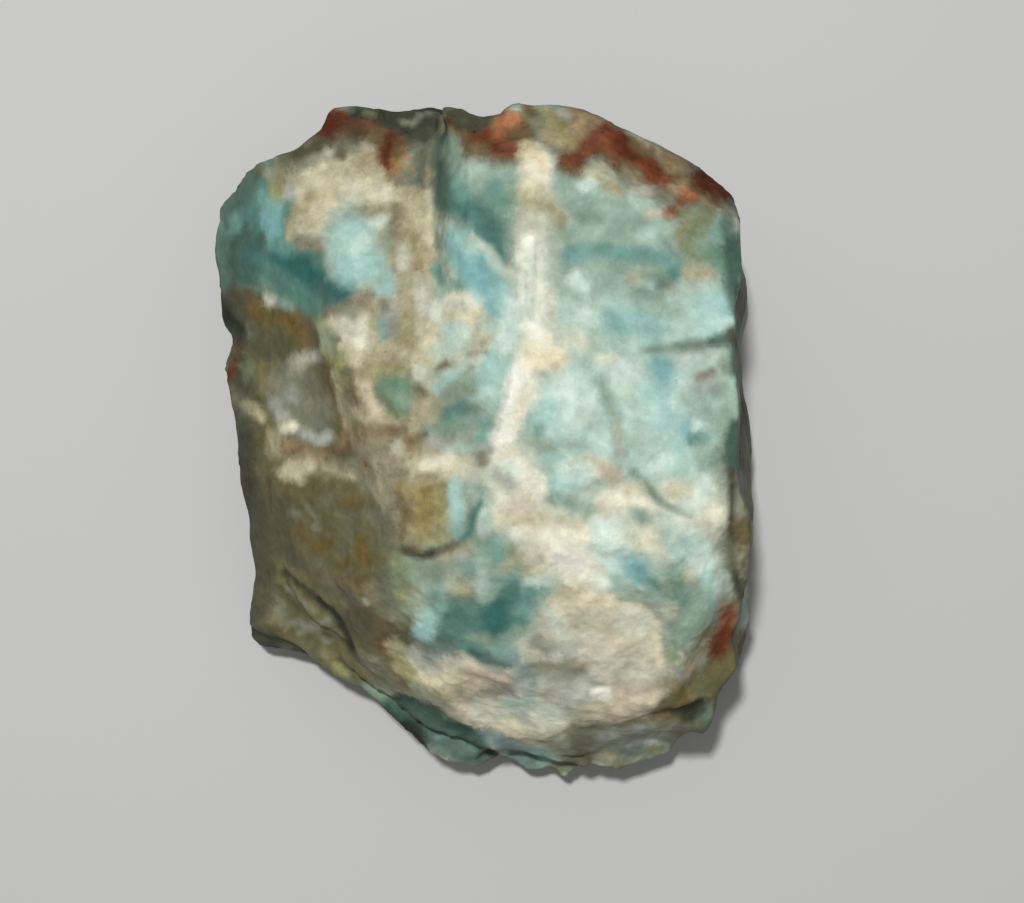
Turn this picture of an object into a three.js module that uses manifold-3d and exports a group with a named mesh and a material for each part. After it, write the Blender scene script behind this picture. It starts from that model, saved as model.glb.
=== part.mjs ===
// A rough piece of larimar: blue-green pectolite in brown basalt, broken out of the rock and lying on
// its flattest face. The stone is one solid. It starts as a block with the stone's outline, fracture
// faces are cut off it one by one, and the whole is then refined and warped so that it looks broken.
// Millimetres, +Z up. The origin is at the middle of the face that the stone rests on.

import * as THREE from 'three';
import { ConvexGeometry } from 'three/addons/geometries/ConvexGeometry.js';
import { SimplexNoise } from 'three/addons/math/SimplexNoise.js';
import { mergeVertices } from 'three/addons/utils/BufferGeometryUtils.js';
import Module from 'manifold-3d';

// Driving dimensions.
const WIDTH = 49; // along X
const LENGTH = 61; // along Y
const HEIGHT = 29; // from the resting face to the top

// Every place below is a share of these: u of half the width, v of half the length, w of the height.
const place = (u, v, w) => new THREE.Vector3((u * WIDTH) / 2, (v * LENGTH) / 2, w * HEIGHT);

const CREST = 1.08; // w of the block's top before it is cut down
const FAR = 90; // mm, past the stone on every side, for cuts that run right across it
const MAX_EDGE = 2.5; // mm, the longest edge left in the finished mesh
const FOOT_RISE = 4; // mm, the height from which the warp moves points up and down in full
const SAME = 1e-3; // lengths in mm, areas and angles below this count as nothing
const FLAT = 1 - 1e-4; // cosine of the angle within which two triangles lie in one plane

// The warp's waves, in mm: how long each is and how far it swings.
const WAVES = [{ length: 17, swing: 0.75 }, { length: 6.5, swing: 0.36 }, { length: 3.6, swing: 0.1 }];

// The outline at the widest level, counterclockwise from the right: u, v, and how far the wall above
// leans in by the crest, as a share of the way to the middle.
const OUTLINE = [
  [0.94, 0.05, 0.19], [0.93, 0.3, 0.19], [0.94, 0.46, 0.18], [0.9, 0.6, 0.13],
  [0.86, 0.7, 0.09], [0.75, 0.76, 0.08], [0.66, 0.83, 0.08], [0.55, 0.885, 0.07],
  [0.4, 0.97, 0.08], [0.2, 0.99, 0.07], [0.09, 0.98, 0.06], [0.035, 0.935, 0.08],
  [-0.17, 1, 0.08], [-0.33, 0.99, 0.05], [-0.5, 1, 0.05], [-0.59, 0.985, 0.05],
  [-0.61, 0.935, 0.06], [-0.7, 0.87, 0.06], [-0.93, 0.775, 0.04], [-1, 0.72, 0],
  [-1, 0.62, 0], [-0.985, 0.39, 0], [-0.935, 0.32, 0], [-0.97, 0.27, 0],
  [-0.92, -0.05, 0], [-0.925, -0.22, 0], [-0.91, -0.4, 0], [-0.915, -0.53, 0],
  [-0.88, -0.59, 0], [-0.7, -0.62, 0], [-0.55, -0.69, 0], [-0.41, -0.765, 0],
  [-0.26, -0.865, 0], [-0.1, -0.965, 0], [-0.01, -0.92, 0], [0.14, -0.98, 0],
  [0.21, -0.95, 0], [0.27, -0.985, 0], [0.37, -0.89, 0], [0.48, -0.925, 0],
  [0.62, -0.89, 0], [0.75, -0.83, 0], [0.785, -0.765, 0.02], [0.895, -0.62, 0.1],
  [0.97, -0.49, 0.16], [0.985, -0.28, 0.2], [0.955, -0.1, 0.2],
];

// The levels of the block, from the foot up: w, and its size there as a share of the outline.
const LEVELS = [[0, 0.9], [0.055, 0.965], [0.165, 1]];

// Fracture faces. Each takes off all that lies above a plane through a place, which dips by so many
// degrees towards a compass direction, counted counterclockwise from +X.
const FACES = {
  top: { at: [0.2, 0.2, 1], dip: 1.5, towards: 60 },
  topRight: { at: [0.5, 0.1, 0.99], dip: 9, towards: -5 },
  topBack: { at: [0.25, 0.5, 0.985], dip: 9, towards: 95 },
  back: { at: [0.3, 0.767, 0.94], dip: 36, towards: 88 },
  backRight: { at: [0.48, 0.67, 0.945], dip: 38, towards: 61 },
  backLeft: { at: [-0.7, 0.6, 0.62], dip: 46, towards: 170 },
  middleLeft: { at: [0, 0.12, 0.955], dip: 20, towards: 192 },
  left: { at: [-0.3, -0.26, 0.86], dip: 48, towards: 189 },
  frontLeft: { at: [-0.48, -0.49, 0.53], dip: 51, towards: 226 },
  front: { at: [0.2, -0.377, 0.87], dip: 36, towards: -93 },
  frontFoot: { at: [0.25, -0.623, 0.69], dip: 52, towards: -95 },
  frontRight: { at: [0.6, -0.43, 0.86], dip: 43, towards: -42 },
};

// Steps, where a piece has come off against a wall. The floor is given as a face is; the piece reaches
// from that place as far as it says, in mm, along the floor's own axes, which are turned first.
const STEPS = {
  upperLeft: { at: [-0.147, 0.3, 0.87], dip: 22, towards: 128, turn: 0, x: [-FAR, 0], y: [-FAR, FAR] },
  notch: { at: [-0.23, 0.82, 0.67], dip: 40, towards: 84, turn: 0, x: [-FAR, 1.3], y: [-FAR, FAR] },
  corner: { at: [-0.7, -0.42, 0.4], dip: 46, towards: 222, turn: -44, x: [-FAR, FAR], y: [-FAR, 0] },
  tealLedge: { at: [-0.2, -0.775, 0.31], dip: 16, towards: -115, turn: -29, x: [-FAR, 5.4], y: [-FAR, 0] },
  greyLedge: { at: [0.14, -0.875, 0.23], dip: 12, towards: -90, turn: -4, x: [-5, 5], y: [-FAR, 0] },
  grainyLedge: { at: [0.5, -0.81, 0.33], dip: 17, towards: -78, turn: 14, x: [-7, FAR], y: [-FAR, 0] },
  rightShelf: { at: [0.86, -0.28, 0.36], dip: 24, towards: 0, turn: 3, x: [0, FAR], y: [-12, 9] },
  backShelf: { at: [0.1, 0.92, 0.42], dip: 20, towards: 90, turn: -4, x: [-7, 12], y: [0, FAR] },
};

// The crack in the right side: a wedge that is open at the wall and closes inwards and downwards.
const CRACK = { tip: [0.36, 0.23, CREST], mouth: [1.1, 0.275, CREST], foot: [1, 0.22, 0.45], gap: 1.9 };

const wasm = await Module();
wasm.setup();

// A closed geometry as a manifold-3d solid.
function solid(geometry) {
  const bare = geometry.clone();
  for (const name of Object.keys(bare.attributes)) {
    if (name !== 'position') bare.deleteAttribute(name);
  }
  const merged = mergeVertices(bare, 1e-4);
  return new wasm.Manifold(new wasm.Mesh({
    numProp: 3,
    vertProperties: new Float32Array(merged.attributes.position.array),
    triVerts: new Uint32Array(merged.index.array),
  }));
}

// The block: rings of the outline at each level and at the crest, closed at both ends.
function block() {
  const rings = LEVELS.map(([w, size]) => OUTLINE.map(([u, v]) => place(u * size, v * size, w)));
  rings.push(OUTLINE.map(([u, v, lean]) => place(u * (1 - lean), v * (1 - lean), CREST)));
  const points = [...rings.flat(), place(0, 0, 0), place(0, 0, CREST)];
  const crest = points.length - 1;
  const foot = crest - 1;
  const count = OUTLINE.length;
  const last = foot - count;
  const index = [];
  for (let i = 0; i < count; i++) {
    const next = (i + 1) % count;
    for (let ring = 0; ring < last; ring += count) {
      index.push(ring + i, ring + next, ring + count + next);
      index.push(ring + i, ring + count + next, ring + count + i);
    }
    index.push(foot, next, i);
    index.push(crest, last + i, last + next);
  }
  return new THREE.BufferGeometry().setFromPoints(points).setIndex(index);
}

// The piece that a fracture took off: a box that stands on the tilted floor.
function piece({ at, dip, towards, turn = 0, x = [-FAR, FAR], y = [-FAR, FAR] }) {
  const box = new THREE.BoxGeometry(x[1] - x[0], y[1] - y[0], FAR);
  box.translate((x[0] + x[1]) / 2, (y[0] + y[1]) / 2, FAR / 2);
  box.rotateZ(THREE.MathUtils.degToRad(turn));
  const way = THREE.MathUtils.degToRad(towards);
  const axis = new THREE.Vector3(-Math.sin(way), Math.cos(way), 0);
  const tilt = new THREE.Quaternion().setFromAxisAngle(axis, THREE.MathUtils.degToRad(dip));
  box.applyQuaternion(tilt);
  const foot = place(...at);
  return box.translate(foot.x, foot.y, foot.z);
}

function crack() {
  const half = new THREE.Vector3(0, CRACK.gap / 2, 0);
  const mouth = place(...CRACK.mouth);
  const lips = [mouth.clone().add(half), mouth.clone().sub(half)];
  return new ConvexGeometry([place(...CRACK.tip), place(...CRACK.foot), ...lips]);
}

const edgeName = (a, b) => (a < b ? `${a},${b}` : `${b},${a}`);

// Each edge of a closed mesh by its name, with the two triangles beside it and their corners opposite it.
function edgesOf(triangles) {
  const edges = new Map();
  triangles.forEach((corners, t) => {
    for (let k = 0; k < 3; k++) {
      const ends = [corners[k], corners[(k + 1) % 3]];
      const name = edgeName(...ends);
      if (!edges.has(name)) edges.set(name, { ends, sides: [] });
      edges.get(name).sides.push({ t, opposite: corners[(k + 2) % 3] });
    }
  });
  return edges;
}

// Cuts each edge that is too long in two at its middle, and the triangles beside it with it. Edges inside
// the resting face stay whole.
function split(points, triangles) {
  const resting = triangles.map((corners) => corners.every((i) => points[i].z < SAME));
  const middles = new Map();
  for (const [name, { ends: [a, b], sides }] of edgesOf(triangles)) {
    if (sides.every(({ t }) => resting[t])) continue;
    if (points[a].distanceTo(points[b]) <= MAX_EDGE) continue;
    points.push(points[a].clone().lerp(points[b], 0.5));
    middles.set(name, points.length - 1);
  }
  return triangles.flatMap((corners) => {
    let pieces = [corners];
    for (let k = 0; k < 3; k++) {
      const [a, b] = [corners[k], corners[(k + 1) % 3]];
      const middle = middles.get(edgeName(a, b));
      if (middle === undefined) continue;
      pieces = pieces.flatMap((one) => {
        const at = one.indexOf(a);
        if (at < 0 || one[(at + 1) % 3] !== b) return [one];
        const tip = one[(at + 2) % 3];
        return [[a, middle, tip], [middle, b, tip]];
      });
    }
    return pieces;
  });
}

// Two flat neighbours make a four-sided patch. Wherever the patch's other diagonal makes its two triangles
// less thin, it takes the edge's place.
function even(points, triangles) {
  const between = (from, to) => points[to].clone().sub(points[from]);
  const angle = (at, a, b) => between(at, a).angleTo(between(at, b));
  const normal = (a, b, c) => between(a, b).cross(between(a, c));
  for (let turned = 1; turned > 0;) {
    turned = 0;
    const edges = edgesOf(triangles);
    const known = new Set(edges.keys());
    const touched = new Set();
    for (const { ends: [a, b], sides: [one, other] } of edges.values()) {
      const [c, d] = [one.opposite, other.opposite];
      if (touched.has(one.t) || touched.has(other.t) || known.has(edgeName(c, d))) continue;
      if (angle(c, a, b) + angle(d, a, b) < Math.PI + SAME) continue;
      const before = [normal(a, b, c), normal(b, a, d)];
      const after = [normal(c, d, b), normal(d, c, a)];
      const up = before[0].clone().add(before[1]).normalize();
      const flat = [...before, ...after].every((n) => n.dot(up) > n.length() * FLAT);
      if (!flat || after.some((n) => n.length() < SAME)) continue;
      triangles[one.t] = [c, d, b];
      triangles[other.t] = [d, c, a];
      touched.add(one.t).add(other.t);
      known.add(edgeName(c, d));
      turned += 1;
    }
  }
}

// A small generator with a fixed seed, so that the stone comes out the same every time.
function seeded(seed) {
  const multiplier = 16807;
  const modulus = 2147483647;
  let state = seed;
  return {
    random() {
      state = (state * multiplier) % modulus;
      return state / modulus;
    },
  };
}

// Moves each point by a smooth noise with waves of three lengths, so that faces undulate and edges waver.
// Neighbours move together, so nothing folds. Points on the resting face keep their height.
function warp(points) {
  const noises = [11, 23, 47].map((seed) => new SimplexNoise(seeded(seed)));
  for (const p of points) {
    const shift = noises.map((noise) => WAVES.reduce((sum, { length, swing }) => (
      sum + swing * noise.noise3d(p.x / length, p.y / length, p.z / length)
    ), 0));
    p.x += shift[0];
    p.y += shift[1];
    p.z += shift[2] * THREE.MathUtils.smoothstep(p.z, 0, FOOT_RISE);
  }
}

// The block with every fracture and the crack taken off it.
function broken() {
  let rough = solid(block());
  for (const fracture of [...Object.values(FACES), ...Object.values(STEPS)]) {
    rough = rough.subtract(solid(piece(fracture)));
  }
  return rough.subtract(solid(crack())).getMesh();
}

function stone() {
  const { vertProperties, triVerts } = broken();
  const points = [];
  for (let i = 0; i < vertProperties.length; i += 3) {
    points.push(new THREE.Vector3().fromArray(vertProperties, i));
  }
  let triangles = [];
  for (let i = 0; i < triVerts.length; i += 3) {
    triangles.push([...triVerts.subarray(i, i + 3)]);
  }
  for (let count = 0; count < points.length;) {
    count = points.length;
    even(points, triangles);
    triangles = split(points, triangles);
  }
  warp(points);

  const geometry = new THREE.BufferGeometry().setFromPoints(points).setIndex(triangles.flat());
  geometry.computeBoundingBox();
  const middle = geometry.boundingBox.getCenter(new THREE.Vector3());
  geometry.translate(-middle.x, -middle.y, 0);
  geometry.computeVertexNormals();
  const material = new THREE.MeshStandardMaterial({ color: 0x8fb5ab, roughness: 0.6, metalness: 0 });
  const mesh = new THREE.Mesh(geometry, material);
  mesh.name = 'larimar';
  return mesh;
}

const part = new THREE.Group();
part.add(stone());

export default part;
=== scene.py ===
import math

import bpy
import numpy as np
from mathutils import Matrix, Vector, noise
from mathutils.bvhtree import BVHTree


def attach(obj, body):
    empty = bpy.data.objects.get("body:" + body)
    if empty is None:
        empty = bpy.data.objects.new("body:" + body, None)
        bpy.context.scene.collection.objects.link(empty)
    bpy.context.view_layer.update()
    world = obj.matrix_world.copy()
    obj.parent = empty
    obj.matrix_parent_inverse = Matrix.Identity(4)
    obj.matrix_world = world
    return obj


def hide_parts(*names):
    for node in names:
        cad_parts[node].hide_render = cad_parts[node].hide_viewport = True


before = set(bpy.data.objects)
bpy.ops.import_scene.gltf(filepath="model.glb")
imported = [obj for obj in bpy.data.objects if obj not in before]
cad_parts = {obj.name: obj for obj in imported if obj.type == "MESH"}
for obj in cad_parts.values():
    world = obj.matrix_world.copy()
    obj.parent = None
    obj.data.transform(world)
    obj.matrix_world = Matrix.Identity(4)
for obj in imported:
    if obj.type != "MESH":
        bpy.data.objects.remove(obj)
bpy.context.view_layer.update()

# ---------------------------------------------------------------------------------------------------
# The camera. It looks straight down on the stone from a hand's breadth above it, so the high side of
# the stone is nearer to it and shows a little larger than the low edges.
# ---------------------------------------------------------------------------------------------------
MM = 0.001
EYE = Vector((2.15, -0.35, 162.5)) * MM
LENS, SENSOR = 60, 36
VIEW_WIDTH, VIEW_HEIGHT = 1024, 903

bpy.ops.object.camera_add(location=EYE, rotation=(0, 0, 0))
camera = bpy.context.object
camera.name = "camera"
camera.data.lens = LENS
camera.data.sensor_width = SENSOR
camera.data.clip_start = 5 * MM
camera.data.clip_end = 10
bpy.context.scene.camera = camera

# ---------------------------------------------------------------------------------------------------
# The stone's body: one lump of larimar, broken out of its vein and left as it broke. It keeps the
# solid's shape, made again of small even faces, smaller still on top where the minerals show.
# ---------------------------------------------------------------------------------------------------
FACE = 0.5 * MM
TOP_TILT = 0.4  # a face is on top if it looks up by more than this
ROUNDING = 2  # rounds of smoothing all over
WEAR = 120  # rounds of smoothing on the worn edges
SAME = 0.002 * MM  # points closer than this are one

bpy.ops.object.select_all(action="DESELECT")
stone = bpy.data.objects.new("stone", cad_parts["larimar"].data.copy())
bpy.context.collection.objects.link(stone)
stone.data.materials.clear()
stone.select_set(True)
bpy.context.view_layer.objects.active = stone
bpy.ops.object.mode_set(mode="EDIT")
bpy.ops.mesh.select_all(action="SELECT")
bpy.ops.mesh.remove_doubles(threshold=SAME)
bpy.ops.object.mode_set(mode="OBJECT")

bpy.ops.object.modifier_add(type="REMESH")
stone.modifiers["Remesh"].mode = "VOXEL"
stone.modifiers["Remesh"].voxel_size = FACE
bpy.ops.object.modifier_apply(modifier="Remesh")
bpy.ops.object.modifier_add(type="SMOOTH")
stone.modifiers["Smooth"].factor = 0.5
stone.modifiers["Smooth"].iterations = ROUNDING
bpy.ops.object.modifier_apply(modifier="Smooth")

# Two of its edges are worn away: the step between the crust and the block, and the lowest ledge.
WORN = (  # from and to along x and y, and the height above which it is worn, in mm
    (-6.2, -1.6, 6, 26.5, 15),
    (5.5, 18.5, -27.3, -24.5, 3),
)
for part in (*stone.data.edges, *stone.data.polygons):
    part.select = False
for point in stone.data.vertices:
    x, y, z = point.co / MM
    point.select = any(a < x < b and c < y < d and z > low for a, b, c, d, low in WORN)
bpy.ops.object.mode_set(mode="EDIT")
bpy.ops.mesh.select_mode(type="VERT")
bpy.ops.mesh.vertices_smooth(factor=0.6, repeat=WEAR)
bpy.ops.object.mode_set(mode="OBJECT")

for part in (*stone.data.vertices, *stone.data.edges):
    part.select = False
for face in stone.data.polygons:
    face.select = face.normal.z > TOP_TILT
bpy.ops.object.mode_set(mode="EDIT")
bpy.ops.mesh.select_mode(type="FACE")
bpy.ops.mesh.subdivide(number_cuts=1, smoothness=1)
bpy.ops.mesh.select_all(action="SELECT")
bpy.ops.mesh.quads_convert_to_tris()
bpy.ops.object.mode_set(mode="OBJECT")


def read(values, name):
    """Three numbers for each point of the stone, by the name that they are kept under."""
    out = np.zeros(len(values) * 3)
    values.foreach_get(name, out)
    return out.reshape(-1, 3)


places = read(stone.data.vertices, "co")
facing = read(stone.data.vertices, "normal")
count = len(places)


def wander(size, octaves, seed):
    """A soft random value at each point of the stone, with lumps of that size in mm."""
    shift = Vector((seed, -seed, 2 * seed))
    lump = size * MM
    return np.array([noise.fractal(Vector(p) / lump + shift, 1.0, 2.0, octaves) for p in places])


def step(low, high, value):
    """0 up to low, 1 from high on, and a soft rise between them; low may be the larger."""
    t = np.clip((value - low) / (high - low), 0, 1)
    return t * t * (3 - 2 * t)


# ---------------------------------------------------------------------------------------------------
# The minerals in it. Blue and green pectolite fills the block, white veins cross it, a cream crust and
# a brown matrix lie on the left, and rust sits where the rock weathered along its back edge. Every
# mark is given as it is seen through the camera, in steps of 1/1024 of the view's width from its upper
# left corner: its mineral, half its width, its strength, and the way that it runs.
# ---------------------------------------------------------------------------------------------------
# Some marks are no mineral: the dark ones on rims, steps and cracks are painted shade, and thin pale lines on
# lit rims and a glint are painted highlights.
FOCUS = VIEW_WIDTH * LENS / SENSOR
HEIGHT_COUNTS = 2 / MM  # a mark on the top doesn't run down the walls, because height counts as distance
LOW_EDGE = 6 * MM  # how high the stone's edge lies where a mark runs out past it


def colour(red, green, blue):
    """A colour as it looks, from 0 to 255 a channel, as the share of the light that it gives back."""
    c = np.array((red, green, blue)) / 255
    return np.where(c <= 0.04045, c / 12.92, ((c + 0.055) / 1.055) ** 2.4)


# Each mineral: its colour, how gritty it is from 0 to 1, and how far it stands proud in mm.
FROST = colour(208, 226, 213), 0.3, 0.04
MIST = colour(182, 201, 184), 0.3, 0.0
MINT = colour(150, 173, 156), 0.35, 0.0
SAGE = colour(128, 150, 131), 0.35, 0.0
FOAM = colour(182, 209, 196), 0.3, 0.02
LINEN = colour(206, 209, 188), 0.4, 0.04
AQUA = colour(165, 201, 192), 0.25, 0.0
SKY = colour(126, 173, 172), 0.2, 0.0
SEA = colour(110, 152, 141), 0.25, 0.0
TEAL = colour(82, 121, 110), 0.25, -0.03
LAGOON = colour(48, 96, 91), 0.2, -0.06
PINE = colour(63, 88, 77), 0.3, -0.05
KELP = colour(76, 101, 91), 0.3, 0.0
SLATE = colour(94, 107, 101), 0.35, 0.0
GULL = colour(110, 129, 127), 0.35, 0.0
CHALK = colour(243, 242, 226), 0.3, 0.06
IVORY = colour(227, 222, 197), 0.35, 0.05
BUTTER = colour(238, 225, 186), 0.35, 0.04
CREAM = colour(203, 196, 165), 0.45, 0.05
SHELL = colour(196, 181, 158), 0.45, 0.04
BONE = colour(186, 184, 163), 0.4, 0.03
SAND = colour(170, 162, 131), 0.6, 0.04
TAN = colour(163, 143, 110), 0.6, 0.02
FAWN = colour(138, 119, 89), 0.6, 0.0
STRAW = colour(148, 143, 98), 0.6, 0.0
MUSHROOM = colour(132, 125, 103), 0.6, 0.0
OLIVE = colour(94, 91, 62), 0.45, 0.0
BOG = colour(72, 72, 55), 0.4, -0.02
MOSS = colour(124, 135, 104), 0.5, 0.0
FERN = colour(100, 138, 112), 0.3, 0.0
CLAY = colour(100, 102, 83), 0.5, 0.0
BRONZE = colour(100, 84, 42), 0.5, 0.0
OCHRE = colour(148, 131, 82), 0.6, 0.0
UMBER = colour(104, 87, 60), 0.6, -0.03
RUST = colour(102, 53, 31), 0.95, 0.06
BRICK = colour(121, 69, 48), 0.9, 0.06
ORANGE = colour(162, 104, 70), 0.9, 0.08
OXBLOOD = colour(80, 39, 22), 0.95, 0.06
ASH = colour(60, 61, 50), 0.8, -0.05
SMOKE = colour(121, 123, 104), 0.35, 0.0
PEARL = colour(166, 171, 160), 0.35, 0.0
DUSK = colour(128, 122, 111), 0.4, 0.0
INK = colour(36, 42, 34), 0.5, -0.1

# The broad colours that the rest lies on.
GROUND = (
    (MINT, 100, 1.0, (520, 190), (640, 250), (655, 350), (640, 430), (530, 400), (500, 290)),
    (OLIVE, 75, 1.0, (295, 370), (300, 460), (320, 560), (330, 620)),
    (SAND, 45, 0.9, (405, 220), (402, 320), (405, 440), (420, 520)),
    (TEAL, 48, 1.0, (255, 215), (280, 265)),
    (SAGE, 40, 0.8, (430, 580), (500, 560)),
    (MIST, 45, 0.8, (560, 500), (640, 530)),
    (FOAM, 30, 0.8, (580, 318), (640, 322), (705, 315)),
    (FOAM, 48, 1.0, (570, 400), (600, 420), (660, 400), (668, 440)),
    (FOAM, 22, 0.9, (496, 345), (492, 385)),
    (LINEN, 28, 0.9, (510, 465), (515, 520)),
    (LINEN, 30, 0.9, (650, 515), (700, 510)),
    (IVORY, 32, 1.0, (555, 548), (595, 556)),
    (FOAM, 28, 0.8, (690, 555), (700, 575)),
    (BONE, 24, 0.8, (430, 320), (455, 330)),
    (SAGE, 40, 0.9, (690, 600), (690, 650)),
    (BONE, 45, 1.0, (470, 690), (560, 670), (620, 660)),
    (BONE, 30, 1.0, (530, 715), (600, 700)),
)
# The upper left: a cream crust over a blue block.
UPPER_LEFT = (
    (CLAY, 9, 1.0, (228, 190), (248, 174), (272, 158), (300, 145), (325, 134)),
    (BOG, 8, 0.9, (240, 182), (258, 172)),
    (TEAL, 20, 1.0, (242, 202), (248, 222)),
    (SEA, 6, 0.6, (234, 212), (234, 228)),
    # Painted shade along the left rim.
    (PINE, 2, 0.9, (223, 205), (225, 228)),
    (SKY, 10, 0.8, (270, 208), (272, 228)),
    (AQUA, 7, 0.4, (278, 198), (274, 210)),
    (PINE, 5, 0.8, (245, 226), (244, 230)),
    (PINE, 9, 0.9, (240, 240), (256, 243)),
    # The next two marks are painted shade down the left rim.
    (PINE, 7, 1.0, (232, 240), (232, 270), (234, 325)),
    (INK, 4, 0.4, (230, 245), (233, 268)),
    (LAGOON, 10, 0.7, (250, 256), (250, 276)),
    (SEA, 7, 0.8, (266, 272), (266, 286)),
    (LAGOON, 12, 1.0, (280, 256), (294, 264), (312, 276), (330, 292)),
    (LAGOON, 9, 1.0, (340, 298), (346, 290)),
    (TEAL, 10, 0.9, (295, 296), (315, 306)),
    (KELP, 6, 0.6, (318, 286), (330, 300)),
    (STRAW, 8, 0.9, (284, 162), (282, 178), (277, 194)),
    (BONE, 4, 0.8, (270, 175), (273, 172)),
    (CREAM, 17, 0.9, (306, 185), (325, 168), (352, 162), (368, 174)),
    (CREAM, 18, 0.9, (320, 195), (350, 185), (372, 182)),
    (SAND, 12, 0.5, (330, 170), (352, 168)),
    (CREAM, 12, 0.9, (306, 210), (306, 228), (316, 230)),
    (CREAM, 9, 1.0, (352, 195), (385, 194), (398, 192)),
    (PEARL, 5, 0.7, (292, 184), (290, 198)),
    (MUSHROOM, 9, 0.9, (294, 164), (306, 158), (322, 150)),
    (CLAY, 11, 1.0, (284, 156), (306, 146), (318, 138), (327, 132)),
    (UMBER, 8, 0.8, (296, 152), (314, 142), (326, 130)),
    (MUSHROOM, 9, 0.9, (336, 132), (342, 150)),
    (BONE, 2.5, 0.7, (306, 144), (316, 136), (322, 134)),
    (UMBER, 4, 0.7, (336, 154), (342, 156)),
    (BONE, 4, 0.8, (326, 152), (330, 152)),
    (SAND, 4, 0.6, (358, 150), (362, 147)),
    (UMBER, 6, 0.7, (344, 136), (354, 138)),
    (TAN, 7, 0.8, (362, 162), (376, 156)),
    (STRAW, 6, 0.7, (306, 202), (312, 194)),
    (SAND, 6, 0.6, (294, 210), (304, 210)),
    (MIST, 6, 0.4, (340, 200), (360, 200)),
    (BUTTER, 5, 0.6, (330, 207), (334, 206)),
    (IVORY, 7, 0.5, (345, 182), (356, 190)),
    (IVORY, 7, 0.6, (374, 198), (384, 194), (396, 192)),
    (CREAM, 7, 0.9, (318, 218), (334, 214)),
    (MIST, 5, 0.7, (332, 214), (348, 208)),
    (SAND, 6, 0.9, (290, 222), (292, 238)),
    (MUSHROOM, 7, 0.9, (300, 244), (326, 245)),
    (AQUA, 24, 1.0, (352, 238), (356, 262)),
    (MIST, 9, 0.3, (338, 230), (336, 250)),
    (FROST, 9, 0.7, (364, 240), (356, 250)),
    (FROST, 6, 0.6, (374, 224), (384, 220)),
    (AQUA, 12, 0.9, (374, 262), (348, 272)),
    (SEA, 6, 0.6, (338, 278), (350, 284)),
    (AQUA, 8, 0.9, (386, 272), (392, 292), (378, 288)),
    (SAGE, 4, 0.7, (389, 226), (389, 250)),
    (MUSHROOM, 5, 0.9, (360, 302), (370, 295)),
)
# The dark rock in the notch at the back.
NOTCH = (
    (ASH, 18, 1.0, (362, 118), (400, 118), (440, 112), (475, 116)),
    (ASH, 12, 0.9, (398, 132), (425, 130)),
    (CLAY, 14, 1.0, (428, 146), (426, 176)),
    (SMOKE, 3, 0.9, (402, 123), (412, 125), (420, 116)),
    (SMOKE, 3, 0.7, (428, 112), (444, 111)),
    (MOSS, 3, 0.5, (366, 114), (374, 116)),
    (SAND, 4, 0.5, (430, 172), (428, 182)),
    (SMOKE, 2, 0.8, (420, 144), (418, 166)),
    (SMOKE, 2, 0.7, (431, 142), (430, 164)),
    (PINE, 4, 0.6, (404, 184), (418, 182)),
    (OXBLOOD, 9, 1.0, (331, 108), (329, 128)),
    (RUST, 5, 1.0, (340, 114), (348, 121)),
    (BRICK, 5, 0.8, (366, 124), (380, 134)),
    (RUST, 8, 1.0, (386, 140), (385, 156), (388, 166)),
    (OXBLOOD, 4, 0.7, (388, 142), (386, 156)),
    (UMBER, 6, 0.8, (396, 140), (404, 144)),
    (OCHRE, 7, 1.0, (400, 154), (400, 170)),
    (TAN, 5, 0.9, (408, 158), (408, 170)),
    (ASH, 6, 0.7, (412, 134), (424, 138)),
    (ORANGE, 5, 0.5, (394, 166), (396, 174)),
    (SMOKE, 6, 0.8, (403, 177), (408, 176)),
    (CLAY, 5, 0.8, (436, 184), (437, 200)),
    (UMBER, 5, 0.6, (388, 178), (396, 184)),
    # The next two marks are painted shade down the step under the overhanging block.
    (BOG, 6, 0.9, (438, 116), (440, 136)),
    (PINE, 3, 0.8, (439, 136), (440, 180), (441, 200)),
)
# The tan band beside the step.
TAN_BAND = (
    (SAND, 17, 1.0, (410, 200), (414, 230), (410, 262)),
    (SAND, 12, 1.0, (412, 262), (406, 300), (408, 340)),
    (MUSHROOM, 6, 0.9, (396, 208), (396, 234)),
    (STRAW, 6, 0.5, (410, 230), (414, 246), (416, 256)),
    (MUSHROOM, 4, 0.6, (406, 232), (414, 238)),
    (CREAM, 6, 0.6, (414, 206), (420, 220)),
    (CREAM, 5, 0.9, (430, 194), (431, 220), (428, 240)),
    (SAGE, 2, 0.6, (434, 200), (434, 228)),
    (BONE, 7, 1.0, (403, 252), (403, 266)),
    (TAN, 6, 0.7, (418, 262), (419, 272)),
    (MUSHROOM, 3, 0.5, (394, 246), (394, 270)),
    (BONE, 13, 0.9, (420, 286), (424, 302)),
    (TAN, 4, 0.6, (409, 290), (411, 306)),
    (FROST, 8, 0.8, (437, 308), (436, 315)),
    (STRAW, 6, 0.6, (406, 316), (406, 338)),
    (CREAM, 11, 0.9, (428, 330), (430, 352)),
    (BUTTER, 5, 0.5, (432, 340), (432, 350)),
    (SAND, 7, 0.9, (372, 352), (386, 354), (402, 350)),
    (CREAM, 5, 0.4, (406, 356), (416, 360)),
)
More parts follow.
